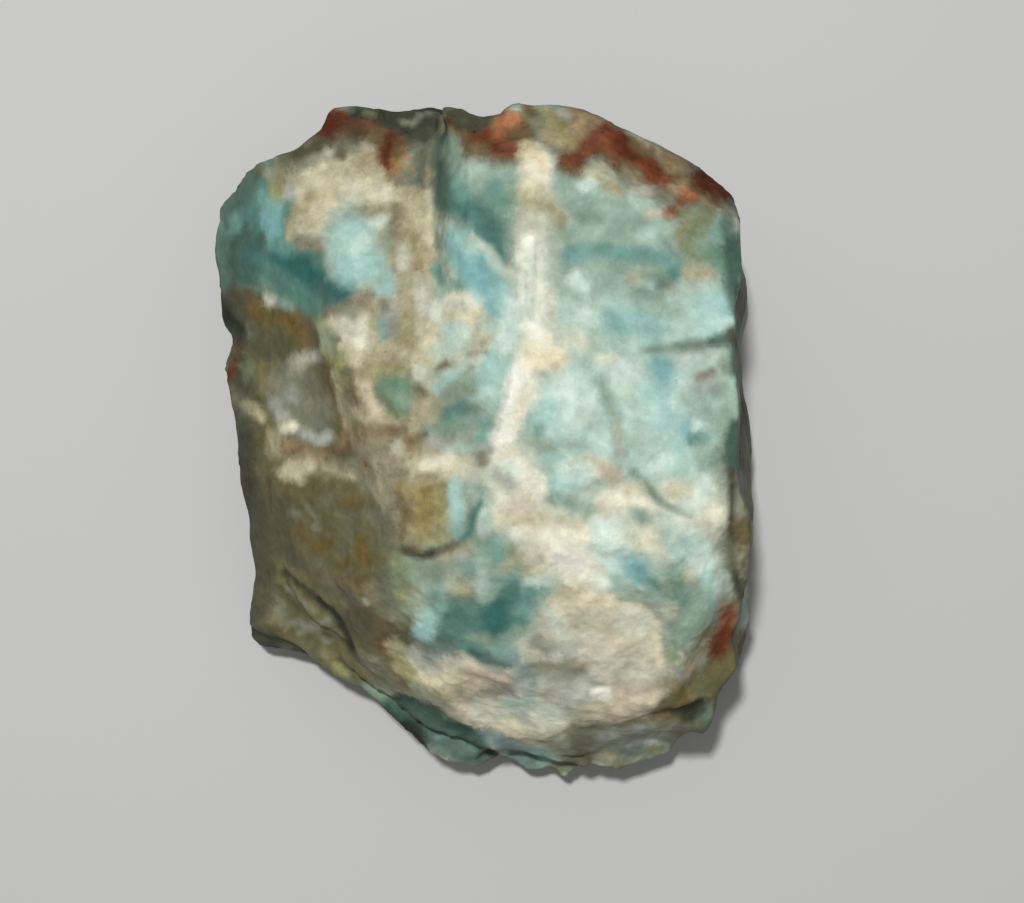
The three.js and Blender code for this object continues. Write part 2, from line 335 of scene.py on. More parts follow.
# The blue block on the right, down to its crack.
RIGHT_BLOCK = (
    (SAGE, 9, 0.8, (450, 142), (456, 158)),
    (PINE, 8, 0.7, (448, 168), (451, 188)),
    (SEA, 5, 0.5, (456, 176), (462, 184)),
    (MIST, 8, 0.5, (472, 160), (478, 168)),
    (SEA, 9, 0.9, (494, 190), (500, 200)),
    (TEAL, 18, 1.0, (452, 200), (474, 210), (490, 226), (498, 240)),
    (TEAL, 8, 1.0, (504, 226), (507, 262)),
    (SEA, 8, 0.7, (456, 186), (462, 196)),
    (PINE, 5, 0.4, (451, 192), (456, 202)),
    (PINE, 5, 0.3, (482, 212), (490, 228)),
    (SEA, 5, 0.5, (506, 236), (508, 248)),
    (AQUA, 8, 0.6, (446, 230), (452, 250)),
    (MINT, 8, 0.9, (444, 262), (458, 268)),
    (KELP, 4, 0.6, (438, 236), (439, 246)),
    (SEA, 5, 0.8, (436, 268), (442, 280), (446, 292)),
    (TEAL, 3, 0.5, (438, 272), (444, 288)),
    (SEA, 8, 0.6, (460, 286), (468, 290)),
    (MIST, 5, 0.5, (456, 274), (460, 270)),
    (SKY, 15, 1.0, (460, 246), (474, 264), (486, 286), (500, 306)),
    (AQUA, 8, 0.8, (462, 242), (472, 250)),
    (AQUA, 9, 0.7, (500, 294), (506, 312)),
    (MIST, 5, 0.9, (472, 240), (486, 250), (496, 264), (506, 276)),
    (SHELL, 4, 0.5, (506, 270), (514, 276)),
    (SAND, 10, 0.9, (532, 206), (548, 210), (560, 216)),
    (MOSS, 7, 0.6, (556, 226), (562, 236)),
    (CREAM, 8, 0.6, (598, 170), (608, 174)),
    (SAND, 7, 0.9, (608, 186), (616, 190)),
    (FROST, 8, 0.8, (584, 186), (590, 182)),
    (SAGE, 8, 0.8, (584, 216), (596, 218)),
    (MIST, 9, 0.8, (634, 196), (642, 200)),
    (SAGE, 9, 0.7, (620, 226), (640, 222)),
    (BONE, 6, 0.9, (650, 214), (660, 214)),
    (MIST, 6, 0.4, (590, 232), (596, 230)),
    (AQUA, 8, 0.5, (644, 232), (650, 234)),
    (MIST, 6, 0.5, (644, 236), (652, 240)),
    (SAGE, 6, 0.4, (604, 238), (614, 236)),
    (SEA, 8, 1.0, (566, 254), (584, 254), (604, 252), (634, 256)),
    (SKY, 6, 0.4, (572, 258), (578, 256)),
    (TEAL, 4, 0.4, (598, 248), (610, 248)),
    (SEA, 10, 1.0, (640, 258), (658, 258), (670, 264)),
    (TEAL, 8, 0.8, (672, 272), (662, 284)),
    (SEA, 7, 0.5, (664, 262), (670, 264)),
    (SAND, 7, 0.5, (632, 278), (644, 272)),
    (SAGE, 5, 0.8, (634, 290), (646, 294), (662, 297)),
    (TEAL, 3, 0.4, (638, 291), (650, 294)),
    (MUSHROOM, 5, 0.5, (666, 286), (674, 290)),
    (TEAL, 2.5, 0.6, (666, 243), (672, 250), (678, 258)),
    (STRAW, 8, 0.7, (682, 234), (688, 244)),
    (MOSS, 11, 1.0, (706, 218), (696, 234), (692, 250)),
    (SEA, 9, 0.6, (716, 232), (714, 246)),
    (KELP, 8, 0.9, (716, 258), (726, 250)),
    (MOSS, 5, 0.7, (702, 258), (712, 260)),
    (SAND, 9, 0.9, (690, 272), (706, 272)),
    (MIST, 10, 0.6, (690, 288), (704, 290)),
    (FROST, 10, 0.9, (578, 279), (582, 284)),
    (MINT, 6, 0.6, (564, 292), (576, 298)),
    (MIST, 13, 0.9, (584, 306), (580, 325), (590, 345)),
    (FROST, 8, 0.6, (582, 312), (590, 318)),
    (IVORY, 9, 0.6, (568, 336), (580, 340)),
    (SAGE, 9, 0.7, (640, 302), (664, 304)),
    (SKY, 13, 0.6, (612, 320), (640, 318), (652, 326)),
    (SEA, 6, 0.4, (616, 322), (622, 334)),
    (MINT, 8, 0.7, (652, 310), (674, 310)),
    (AQUA, 14, 1.0, (710, 304), (716, 322)),
    (FROST, 8, 0.3, (712, 318), (722, 326)),
    (SKY, 4, 0.5, (722, 300), (726, 314)),
    (SAGE, 4, 0.6, (648, 350), (684, 346)),
    (SAGE, 5, 0.9, (676, 347), (712, 344)),
    # Painted shade in the mouth of the crack.
    (PINE, 4, 0.6, (714, 343), (736, 341)),
)
# Rust along the weathered back edge.
RUST_EDGE = (
    (UMBER, 15, 1.0, (455, 122), (480, 134), (506, 138), (560, 122)),
    (UMBER, 18, 1.0, (562, 134), (590, 136), (616, 150), (640, 166), (668, 186), (712, 194)),
    (STRAW, 10, 0.9, (534, 114), (548, 124), (560, 132)),
    (UMBER, 5, 0.7, (514, 108), (528, 107)),
    (SMOKE, 7, 0.8, (538, 118), (540, 136)),
    (PEARL, 5, 0.7, (560, 114), (568, 116)),
    (SAND, 7, 0.7, (546, 137), (556, 140)),
    (BOG, 9, 0.9, (448, 112), (468, 114), (482, 118)),
    (OXBLOOD, 5, 0.9, (450, 119), (458, 122)),
    (UMBER, 6, 0.8, (462, 140), (468, 142)),
    (UMBER, 9, 0.8, (494, 156), (512, 158)),
    (BRICK, 10, 0.8, (480, 140), (500, 148), (510, 150)),
    (RUST, 9, 1.0, (478, 138), (492, 144)),
    (OXBLOOD, 6, 0.8, (488, 138), (494, 150)),
    (BRICK, 6, 0.7, (502, 156), (512, 152)),
    (ORANGE, 8, 0.9, (500, 124), (512, 122)),
    (ORANGE, 5, 0.5, (495, 138), (502, 134)),
    (MUSHROOM, 4, 0.8, (522, 106), (524, 113)),
    (FAWN, 8, 1.0, (576, 112), (598, 116), (612, 122)),
    (TAN, 8, 0.6, (572, 132), (582, 134)),
    (TAN, 6, 0.8, (580, 122), (588, 125)),
    (STRAW, 6, 0.6, (564, 144), (572, 148)),
    (BRICK, 9, 0.9, (564, 160), (576, 162)),
    (BRICK, 14, 0.9, (604, 136), (622, 150), (642, 168)),
    (RUST, 9, 0.8, (608, 132), (622, 142), (636, 156)),
    (OXBLOOD, 8, 0.9, (622, 144), (634, 158)),
    (BRICK, 9, 0.8, (650, 172), (664, 184)),
    (RUST, 8, 0.8, (646, 164), (656, 172)),
    (UMBER, 7, 0.8, (636, 144), (650, 150)),
    (SAND, 2, 0.6, (640, 139), (648, 145)),
    (FAWN, 8, 1.0, (664, 154), (674, 166)),
    (UMBER, 7, 0.8, (622, 166), (634, 172)),
    (TAN, 6, 0.8, (674, 190), (682, 188)),
    (ORANGE, 6, 0.9, (684, 194), (690, 198)),
    (BRICK, 7, 0.9, (672, 212), (682, 206)),
    (ORANGE, 5, 0.6, (667, 214), (672, 216)),
    (FAWN, 6, 0.7, (682, 220), (686, 226)),
    (SMOKE, 7, 0.8, (656, 192), (664, 196)),
    (OXBLOOD, 9, 1.0, (702, 178), (712, 186)),
    (MUSHROOM, 3, 0.5, (700, 200), (708, 204)),
)
# The white vein.
VEIN = (
    (LINEN, 21, 0.8, (531, 226), (534, 290), (536, 345)),
    (LINEN, 9, 0.8, (548, 296), (549, 340)),
    (BONE, 15, 0.7, (532, 210), (530, 232)),
    (CHALK, 12, 0.9, (529, 246), (531, 257)),
    (IVORY, 12, 0.9, (532, 264), (530, 300), (530, 336)),
    (FROST, 12, 0.5, (531, 262), (531, 336)),
    (CHALK, 6, 0.6, (538, 286), (538, 312)),
    (CHALK, 9, 0.9, (530, 326), (540, 340)),
    (PEARL, 2, 0.6, (517, 262), (516, 300)),
    (PEARL, 2, 0.5, (527, 272), (526, 310)),
    (PEARL, 2, 0.4, (537, 235), (534, 290), (530, 320)),
    (IVORY, 15, 1.0, (537, 162), (532, 190)),
    (CHALK, 11, 0.9, (538, 166), (534, 184)),
    (BUTTER, 5, 0.9, (542, 161), (545, 168)),
    (CREAM, 9, 0.9, (526, 194), (534, 198)),
    (STRAW, 6, 0.6, (526, 204), (540, 205)),
    (CHALK, 11, 1.0, (526, 366), (518, 390), (512, 420)),
    (CHALK, 10, 1.0, (512, 410), (504, 438)),
    (IVORY, 6, 0.8, (526, 392), (518, 420)),
    (IVORY, 8, 0.6, (534, 384), (528, 402)),
    (PEARL, 2, 0.4, (512, 380), (502, 415), (496, 440)),
    (IVORY, 15, 0.8, (534, 350), (552, 356)),
    (BUTTER, 13, 0.7, (540, 352), (554, 360)),
    (CHALK, 6, 0.5, (536, 340), (544, 344)),
    (BUTTER, 6, 0.7, (530, 366), (542, 360)),
    (TAN, 5, 0.35, (536, 373), (542, 376)),
    (SAND, 6, 0.4, (556, 366), (564, 360)),
    (IVORY, 9, 0.8, (506, 452), (520, 468), (532, 482)),
    (CHALK, 8, 0.6, (520, 468), (536, 484)),
    (FROST, 6, 0.6, (508, 464), (514, 470)),
)
# The middle, where cream, tan and green pieces lie cemented together.
CENTRE = (
    (AQUA, 11, 0.8, (492, 358), (490, 392)),
    (LINEN, 7, 0.7, (464, 358), (476, 357)),
    (FROST, 5, 0.4, (494, 388), (490, 396)),
    (MINT, 7, 0.7, (486, 404), (488, 414)),
    (SEA, 7, 0.8, (486, 424), (482, 436)),
    (MIST, 9, 0.9, (498, 328), (506, 340)),
    (CREAM, 13, 0.9, (454, 308), (464, 305), (472, 312)),
    (MINT, 7, 0.8, (440, 292), (448, 290)),
    (IVORY, 6, 0.9, (452, 300), (462, 297), (474, 305)),
    (AQUA, 5, 0.7, (474, 294), (482, 300)),
    (BUTTER, 5, 0.6, (464, 316), (470, 318)),
    (FROST, 9, 0.9, (462, 330), (460, 336)),
    (AQUA, 6, 0.7, (450, 328), (450, 336)),
    (MIST, 10, 0.8, (452, 346), (440, 352)),
    (CREAM, 7, 0.7, (478, 338), (488, 340)),
    (TAN, 5, 0.5, (484, 343), (476, 349)),
    (MUSHROOM, 3, 0.6, (470, 354), (486, 351)),
    (PEARL, 10, 0.8, (390, 312), (388, 330)),
    (SMOKE, 6, 0.6, (394, 322), (396, 334)),
    (DUSK, 5, 0.8, (384, 304), (386, 310)),
    (SEA, 6, 0.6, (382, 322), (384, 338)),
    (SAND, 7, 0.8, (324, 326), (334, 322)),
    (CREAM, 8, 0.9, (336, 326), (346, 330)),
    (MUSHROOM, 6, 0.8, (340, 313), (354, 314)),
    (IVORY, 12, 1.0, (354, 322), (360, 342)),
    (CHALK, 6, 0.4, (360, 328), (358, 338)),
    (CREAM, 8, 1.0, (346, 348), (356, 360)),
    (UMBER, 3, 0.5, (344, 314), (352, 318)),
    (MINT, 8, 0.6, (328, 340), (330, 350)),
    (STRAW, 9, 0.8, (328, 354), (344, 360)),
    (MOSS, 6, 0.4, (334, 352), (346, 356)),
    (SAND, 5, 0.8, (334, 374), (342, 404), (350, 432)),
    (SAND, 7, 0.8, (358, 376), (350, 380)),
    (CLAY, 6, 0.7, (348, 372), (350, 382)),
    (UMBER, 4, 0.9, (321, 358), (328, 384), (336, 408), (346, 436)),
    (BRONZE, 3, 0.6, (326, 376), (332, 396)),
    (UMBER, 5, 0.7, (350, 382), (356, 412), (362, 446)),
    (MUSHROOM, 8, 0.8, (348, 404), (354, 424)),
    (SAND, 6, 0.8, (362, 374), (364, 390)),
    (SHELL, 6, 0.9, (368, 386), (370, 398), (377, 410)),
    (CREAM, 4, 0.6, (368, 396), (376, 408)),
    (SAND, 7, 0.8, (356, 412), (372, 420)),
    (MOSS, 15, 1.0, (390, 386), (402, 388), (401, 404)),
    (STRAW, 6, 0.8, (380, 370), (398, 369)),
    (FERN, 10, 0.9, (388, 386), (402, 386), (400, 402)),
    (MINT, 6, 0.6, (402, 396), (406, 404)),
    (CLAY, 3, 0.7, (376, 388), (388, 404), (397, 416)),
    (CLAY, 4, 0.8, (412, 374), (420, 388), (424, 394)),
    (CREAM, 7, 0.6, (416, 360), (424, 372)),
    (MIST, 5, 0.5, (422, 370), (424, 378)),
    (SAND, 8, 0.8, (436, 404), (420, 412), (418, 420)),
    (SHELL, 5, 0.5, (424, 406), (426, 410)),
    (MOSS, 7, 0.6, (440, 398), (436, 410)),
    (UMBER, 4, 0.8, (432, 378), (438, 370), (446, 364)),
    (MIST, 4, 0.9, (446, 374), (458, 370), (466, 366)),
    (AQUA, 5, 0.9, (436, 388), (446, 380), (454, 376)),
    (STRAW, 3, 0.5, (466, 376), (472, 368)),
    (SAGE, 10, 0.8, (452, 396), (472, 384)),
    (MOSS, 6, 0.6, (466, 388), (474, 394)),
    (TEAL, 8, 0.9, (448, 414), (462, 409)),
    (SLATE, 7, 0.6, (466, 412), (478, 410)),
    (SEA, 7, 0.6, (444, 424), (462, 420)),
    (SAGE, 8, 0.9, (430, 430), (450, 428), (472, 426)),
    (PEARL, 6, 0.4, (464, 438), (474, 432)),
    (PEARL, 8, 0.8, (436, 440), (442, 448)),
    (MIST, 7, 0.8, (448, 452), (460, 448)),
    (FAWN, 7, 0.8, (368, 430), (388, 432)),
    (BRICK, 5, 0.5, (392, 430), (402, 434), (410, 443)),
    (FAWN, 6, 0.9, (404, 434), (412, 446)),
    (UMBER, 4, 0.7, (414, 440), (424, 434)),
    (UMBER, 5, 0.7, (360, 446), (364, 464)),
    (MUSHROOM, 6, 0.7, (366, 448), (376, 444)),
    (MUSHROOM, 5, 0.6, (392, 440), (402, 438)),
    (BONE, 5, 0.9, (393, 450), (400, 447)),
    (CREAM, 9, 0.9, (414, 466), (436, 464), (466, 466)),
    (IVORY, 6, 0.8, (426, 464), (450, 461)),
    (UMBER, 5, 0.7, (480, 456), (483, 462)),
    (MUSHROOM, 6, 0.5, (490, 450), (478, 464)),
    (MINT, 9, 0.9, (474, 484), (480, 496)),
    (MIST, 8, 0.7, (486, 500), (484, 530)),
    (PEARL, 7, 0.8, (498, 474), (508, 484)),
    (OCHRE, 13, 1.0, (426, 486), (430, 500)),
    (OCHRE, 13, 0.9, (426, 510), (424, 524)),
    (BRONZE, 5, 0.35, (424, 492), (432, 488)),
    (SAND, 5, 0.8, (418, 480), (436, 478)),
    (STRAW, 7, 0.8, (442, 486), (441, 524)),
    (UMBER, 5, 0.6, (408, 500), (410, 520)),
    (SAND, 6, 0.6, (411, 531), (414, 538)),
    (STRAW, 7, 0.8, (424, 536), (438, 536)),
    (MUSHROOM, 7, 0.9, (384, 484), (394, 502), (394, 530)),
    (UMBER, 4, 0.8, (398, 488), (405, 512), (402, 540)),
    (BOG, 5, 1.0, (404, 550), (422, 555), (442, 551), (462, 545)),
    (BRONZE, 3, 0.6, (414, 547), (422, 549)),
    (AQUA, 6, 1.0, (454, 484), (457, 506), (458, 518)),
    (SKY, 7, 0.5, (456, 528), (462, 538)),
    (TEAL, 4, 0.9, (479, 504), (472, 518), (471, 532), (464, 544)),
)
# The brown flank on the left, with its grey lens.
LEFT_FLANK = (
    # The next two marks are painted shade and shadow down the left rim and in its notch.
    (BOG, 9, 1.0, (228, 288), (232, 315), (238, 340), (236, 356)),
    (INK, 8, 1.0, (227, 305), (231, 325), (234, 342)),
    (BOG, 8, 1.0, (240, 362), (241, 390), (242, 420), (245, 450), (246, 478)),
    (BOG, 8, 0.9, (238, 362), (240, 384)),
    (OXBLOOD, 4, 0.9, (241, 346), (237, 364), (231, 378)),
    (UMBER, 10, 0.9, (248, 298), (256, 304)),
    (BRONZE, 11, 0.9, (258, 312), (284, 320)),
    (BRONZE, 10, 0.9, (290, 318), (296, 336)),
    (UMBER, 8, 0.6, (304, 330), (308, 346)),
    (BOG, 14, 0.5, (256, 340), (282, 346)),
    (BONE, 6, 1.0, (268, 297), (271, 300)),
    (MINT, 5, 0.7, (284, 302), (290, 307)),
    (MOSS, 7, 0.4, (250, 366), (250, 378)),
    (OCHRE, 4, 0.4, (264, 366), (262, 392)),
    (BOG, 8, 0.6, (250, 386), (256, 396)),
    (SAND, 6, 1.0, (248, 406), (256, 411), (263, 418)),
    (SMOKE, 25, 0.9, (292, 388), (306, 412)),
    (BOG, 6, 0.3, (310, 384), (316, 392)),
    (PEARL, 7, 0.7, (296, 362), (312, 356)),
    (SAND, 6, 0.4, (296, 370), (306, 360)),
    (PEARL, 7, 0.4, (290, 394), (294, 400)),
    (MUSHROOM, 7, 0.5, (274, 390), (276, 380)),
    (PEARL, 6, 0.6, (276, 404), (282, 414)),
    (SLATE, 8, 0.3, (318, 420), (322, 430)),
    (BONE, 6, 0.6, (284, 418), (290, 424)),
    (IVORY, 5, 0.9, (286, 427), (294, 426)),
    (PEARL, 6, 0.9, (304, 434), (318, 441), (328, 436)),
    (OLIVE, 12, 0.8, (254, 432), (252, 452)),
    (SAND, 9, 0.7, (276, 436), (276, 452)),
    (FAWN, 8, 0.9, (288, 446), (304, 452), (320, 456)),
    (UMBER, 4, 0.6, (292, 454), (300, 450)),
    (TAN, 5, 0.7, (306, 454), (320, 458)),
    (SAND, 8, 0.7, (280, 470), (316, 470), (352, 473)),
    (CREAM, 4, 0.6, (306, 466), (312, 468)),
    (CREAM, 4, 0.5, (326, 467), (334, 469)),
    (CREAM, 4, 0.4, (344, 474), (352, 475)),
    (UMBER, 3, 0.8, (272, 464), (284, 462)),
    (UMBER, 7, 0.9, (334, 452), (348, 448)),
    (FAWN, 6, 0.7, (342, 440), (352, 434)),
    (MUSHROOM, 6, 0.7, (330, 462), (360, 470)),
    (UMBER, 6, 0.5, (364, 464), (372, 476)),
)
# The flat olive face.
OLIVE_FACE = (
    (OLIVE, 60, 1.0, (300, 530), (330, 545)),
    (BOG, 14, 0.7, (250, 490), (250, 530), (256, 575)),
    (BOG, 10, 0.5, (284, 500), (280, 545), (292, 560)),
    (UMBER, 8, 0.4, (290, 488), (330, 490), (350, 494)),
    (CLAY, 7, 0.5, (326, 500), (342, 494)),
    (BRONZE, 9, 0.5, (345, 502), (372, 504)),
    (BRONZE, 8, 0.6, (298, 530), (304, 536)),
    (BRONZE, 8, 0.8, (326, 544), (320, 550)),
    (BRONZE, 9, 0.9, (358, 546), (364, 558)),
    (BRONZE, 6, 0.7, (342, 562), (346, 556)),
    (SMOKE, 4, 0.7, (292, 513), (296, 515)),
    (SMOKE, 2, 0.7, (307, 506), (312, 513), (318, 521), (314, 527), (320, 529)),
    (SMOKE, 6, 0.7, (366, 516), (373, 517)),
    (CLAY, 7, 0.6, (344, 514), (348, 526)),
    (CLAY, 8, 0.8, (384, 518), (390, 545)),
    (CLAY, 7, 0.7, (346, 540), (344, 550)),
    (CLAY, 7, 0.5, (318, 562), (322, 570)),
    (UMBER, 13, 0.4, (312, 578), (340, 586), (364, 586)),
    (DUSK, 9, 0.35, (330, 586), (350, 600)),
    (MUSHROOM, 6, 0.7, (368, 588), (376, 600)),
    (PEARL, 2, 0.7, (364, 601), (367, 604)),
    (MOSS, 12, 0.9, (400, 570), (398, 596)),
    (STRAW, 5, 0.6, (401, 592), (404, 600)),
    (CLAY, 8, 0.7, (386, 580), (386, 606)),
    (SAND, 7, 0.6, (416, 590), (420, 602)),
    (BOG, 8, 0.8, (350, 616), (378, 624), (400, 634), (418, 644)),
    (UMBER, 7, 0.4, (360, 612), (388, 628)),
)
# The grey-green corner.
CORNER = (
    (OLIVE, 36, 1.0, (290, 620), (325, 650)),
    (MUSHROOM, 10, 0.4, (268, 600), (276, 618)),
    (SMOKE, 5, 0.6, (276, 596), (284, 614)),
    (BOG, 2, 0.8, (282, 586), (292, 602), (298, 610)),
    (SMOKE, 2, 0.8, (288, 588), (300, 600), (316, 612)),
    (SMOKE, 4, 0.9, (284, 626), (298, 622), (306, 628)),
    (SMOKE, 4, 0.9, (312, 626), (330, 621)),
    (SMOKE, 3, 0.8, (300, 634), (316, 628), (324, 642), (330, 640)),
    (BRONZE, 4, 0.7, (276, 626), (282, 630)),
    (BOG, 4, 0.7, (322, 634), (330, 636)),
    (CLAY, 5, 0.7, (332, 624), (336, 634)),
    (STRAW, 5, 0.5, (322, 652), (332, 656)),
    (STRAW, 5, 0.7, (338, 666), (346, 672)),
    (CLAY, 8, 0.5, (300, 648), (316, 656)),
    # The next three marks are painted shade where the corner's facets drop away.
    (INK, 3, 0.6, (284, 573), (300, 588), (316, 601)),
    (INK, 3, 0.9, (316, 601), (330, 613), (340, 626), (348, 640), (352, 652)),
    (BOG, 3, 1.0, (250, 628), (268, 634), (285, 644), (304, 657)),
    (SLATE, 3, 0.8, (256, 640), (276, 648), (290, 655)),
    (OLIVE, 8, 0.9, (352, 660), (362, 676)),
    (MUSHROOM, 4, 0.7, (360, 652), (374, 662), (384, 676)),
    (BOG, 6, 0.6, (354, 670), (358, 686)),
    (UMBER, 8, 1.0, (380, 644), (394, 664), (402, 682)),
    (OLIVE, 5, 0.8, (400, 690), (418, 694)),
)
# The blue right of the vein, below the crack.
RIGHT_MIDDLE = (
    (FROST, 11, 0.9, (608, 366), (630, 374), (620, 384)),
    (PEARL, 7, 0.6, (672, 357), (700, 356), (716, 356)),
    (MIST, 8, 0.6, (686, 364), (710, 362)),
    (CREAM, 6, 0.5, (600, 360), (612, 359)),
    (SKY, 12, 0.9, (660, 366), (664, 378)),
    (AQUA, 9, 0.7, (656, 388), (666, 392)),
    (DUSK, 5, 1.0, (700, 377), (706, 375), (712, 373)),
    (PEARL, 9, 0.7, (696, 388), (714, 384)),
    (CLAY, 5, 0.6, (724, 362), (728, 368)),
    (SAGE, 7, 0.9, (718, 394), (722, 392)),
    (MINT, 8, 0.8, (728, 398), (730, 412)),
    (FROST, 4, 0.5, (684, 386), (686, 394)),
    (SAGE, 9, 0.7, (720, 412), (724, 430)),
    (MIST, 10, 0.8, (616, 392), (632, 394)),
    (AQUA, 15, 1.0, (656, 402), (664, 416)),
    (FROST, 9, 0.4, (634, 408), (652, 410)),
    (FROST, 3, 0.5, (672, 396), (674, 410)),
    (MINT, 10, 0.7, (690, 400), (706, 406)),
    (FROST, 4, 0.7, (697, 423), (699, 426)),
    (SKY, 7, 0.7, (688, 422), (684, 432)),
    (SEA, 8, 0.9, (692, 438), (704, 438)),
    (TEAL, 4, 0.4, (694, 438), (702, 442)),
    (AQUA, 7, 0.7, (678, 440), (676, 452)),
    (MINT, 9, 0.8, (702, 452), (706, 466)),
    (SAGE, 6, 0.7, (716, 450), (716, 464)),
    (MIST, 12, 0.7, (642, 440), (646, 458)),
    (FROST, 7, 0.7, (668, 456), (656, 468)),
    (FROST, 17, 0.9, (566, 388), (576, 398)),
    (FROST, 9, 0.8, (576, 408), (590, 402)),
    (AQUA, 9, 1.0, (546, 404), (542, 418)),
    (FROST, 7, 0.7, (556, 430), (580, 420)),
    (AQUA, 6, 0.6, (552, 424), (562, 434)),
    (MIST, 8, 0.7, (584, 414), (594, 420)),
    (SEA, 5, 0.6, (538, 428), (537, 436)),
    (SAGE, 9, 0.4, (602, 382), (607, 398), (612, 412), (618, 430), (624, 448)),
    (MOSS, 4, 0.2, (603, 386), (609, 404), (615, 422)),
    (SAND, 6, 0.5, (618, 428), (620, 440)),
    (PEARL, 6, 0.7, (617, 446), (622, 456)),
    (MOSS, 6, 0.4, (540, 448), (552, 447)),
    (SAGE, 5, 0.5, (562, 444), (584, 446)),
    (AQUA, 5, 0.9, (546, 457), (564, 457)),
    (CREAM, 10, 0.8, (584, 464), (600, 466)),
    (IVORY, 5, 0.8, (588, 466), (592, 473)),
    (SHELL, 9, 0.8, (606, 470), (614, 478)),
    (SAND, 5, 0.5, (606, 484), (620, 486)),
    (AQUA, 9, 0.9, (560, 480), (578, 480)),
    (PEARL, 7, 0.5, (582, 491), (596, 490)),
    (SEA, 6, 0.6, (556, 496), (564, 500)),
    (SLATE, 3, 0.4, (548, 500), (556, 506)),
    (SAGE, 8, 0.6, (572, 504), (586, 514)),
    (SAGE, 4, 0.8, (634, 472), (646, 486), (658, 500), (676, 509), (690, 513)),
    (SAGE, 3, 0.5, (646, 486), (656, 500), (666, 507)),
    (IVORY, 10, 1.0, (606, 500), (620, 498)),
    (SHELL, 7, 0.5, (600, 508), (616, 510)),
    (CREAM, 7, 0.6, (630, 488), (640, 490)),
    (TAN, 3, 0.3, (626, 494), (632, 496)),
    (IVORY, 6, 0.7, (634, 500), (644, 503)),
    (SEA, 7, 0.4, (634, 514), (642, 520)),
    (SAGE, 7, 0.5, (640, 516), (646, 524)),
    (FROST, 11, 0.8, (704, 488), (698, 502)),
    (CREAM, 9, 0.7, (672, 488), (684, 492)),
    (IVORY, 8, 0.7, (692, 504), (712, 512)),
    (BONE, 8, 0.6, (700, 522), (712, 534)),
    (IVORY, 8, 0.9, (643, 538), (644, 536)),
    (CREAM, 6, 0.6, (640, 546), (652, 546)),
    (MIST, 9, 0.7, (664, 520), (672, 530)),
)
# The mixed blue and cream below the vein.
LOWER_MIDDLE = (
    (IVORY, 10, 1.0, (534, 480), (538, 492)),
    (CHALK, 6, 0.6, (536, 478), (540, 488)),
    (IVORY, 14, 0.7, (504, 500), (524, 500)),
    (SHELL, 11, 0.6, (504, 514), (526, 508)),
    (CREAM, 9, 0.7, (504, 522), (520, 524), (544, 516)),
    (SAND, 5, 0.4, (516, 524), (526, 520)),
    (SAND, 6, 0.6, (560, 522), (576, 525)),
    (MIST, 8, 0.9, (506, 540), (514, 534)),
    (IVORY, 9, 0.8, (520, 534), (542, 538)),
    (SEA, 8, 0.7, (496, 542), (499, 556)),
    (MINT, 8, 0.6, (478, 552), (482, 564)),
    (MOSS, 7, 0.6, (510, 550), (514, 558)),
    (BONE, 8, 0.7, (526, 550), (538, 556)),
    (IVORY, 16, 1.0, (560, 542), (584, 546)),
    (CHALK, 13, 1.0, (564, 556), (582, 562)),
    (IVORY, 9, 1.0, (589, 577), (600, 582)),
    (FROST, 12, 0.9, (604, 534), (608, 558)),
    (FROST, 7, 0.6, (596, 528), (616, 526)),
    (IVORY, 7, 0.6, (590, 556), (596, 574)),
    (AQUA, 6, 0.6, (612, 572), (614, 582)),
    (SKY, 13, 0.9, (626, 564), (640, 572)),
    (SEA, 6, 0.6, (642, 574), (650, 582)),
    (TEAL, 6, 0.9, (654, 584), (652, 592)),
    (SKY, 7, 0.4, (678, 548), (686, 542)),
    (BONE, 7, 0.6, (660, 546), (664, 556)),
    (SAGE, 6, 0.6, (672, 572), (676, 580)),
    (FROST, 12, 0.9, (698, 556), (700, 564)),
    (FOAM, 8, 0.6, (680, 556), (686, 562)),
    (FROST, 8, 0.8, (696, 560), (702, 562)),
    (CREAM, 6, 0.5, (688, 574), (694, 578)),
    (AQUA, 9, 0.7, (710, 578), (716, 584)),
    (MINT, 8, 0.7, (702, 598), (710, 594)),
    (PEARL, 7, 0.6, (720, 552), (724, 590)),
    (TEAL, 7, 0.4, (678, 590), (682, 604)),
    (PEARL, 6, 0.5, (658, 600), (662, 606)),
    (CLAY, 5, 0.7, (646, 602), (648, 610)),
    (BONE, 7, 0.6, (668, 612), (674, 612)),
    (SAGE, 12, 0.9, (690, 618), (690, 632)),
    (SAGE, 9, 0.6, (668, 636), (672, 648)),
    (MOSS, 10, 0.9, (672, 656), (684, 662)),
    (MINT, 6, 0.5, (683, 640), (688, 642)),
    (BONE, 2, 0.8, (680, 654), (684, 658)),
    (BONE, 2, 0.5, (676, 664), (682, 660)),
    (MUSHROOM, 8, 0.8, (700, 644), (696, 664)),
    (BONE, 2, 0.5, (704, 644), (708, 640)),
    (GULL, 6, 0.6, (714, 606), (712, 616)),
    (FAWN, 8, 0.8, (727, 608), (730, 616)),
    (BRICK, 8, 0.9, (728, 614), (727, 626)),
    (BRONZE, 7, 0.9, (716, 662), (710, 678)),
    (DUSK, 7, 0.8, (672, 678), (682, 678)),
    (FAWN, 6, 0.7, (690, 668), (692, 680)),
    (BRONZE, 8, 0.9, (676, 690), (684, 698)),
    (FAWN, 6, 0.6, (692, 692), (698, 692)),
)
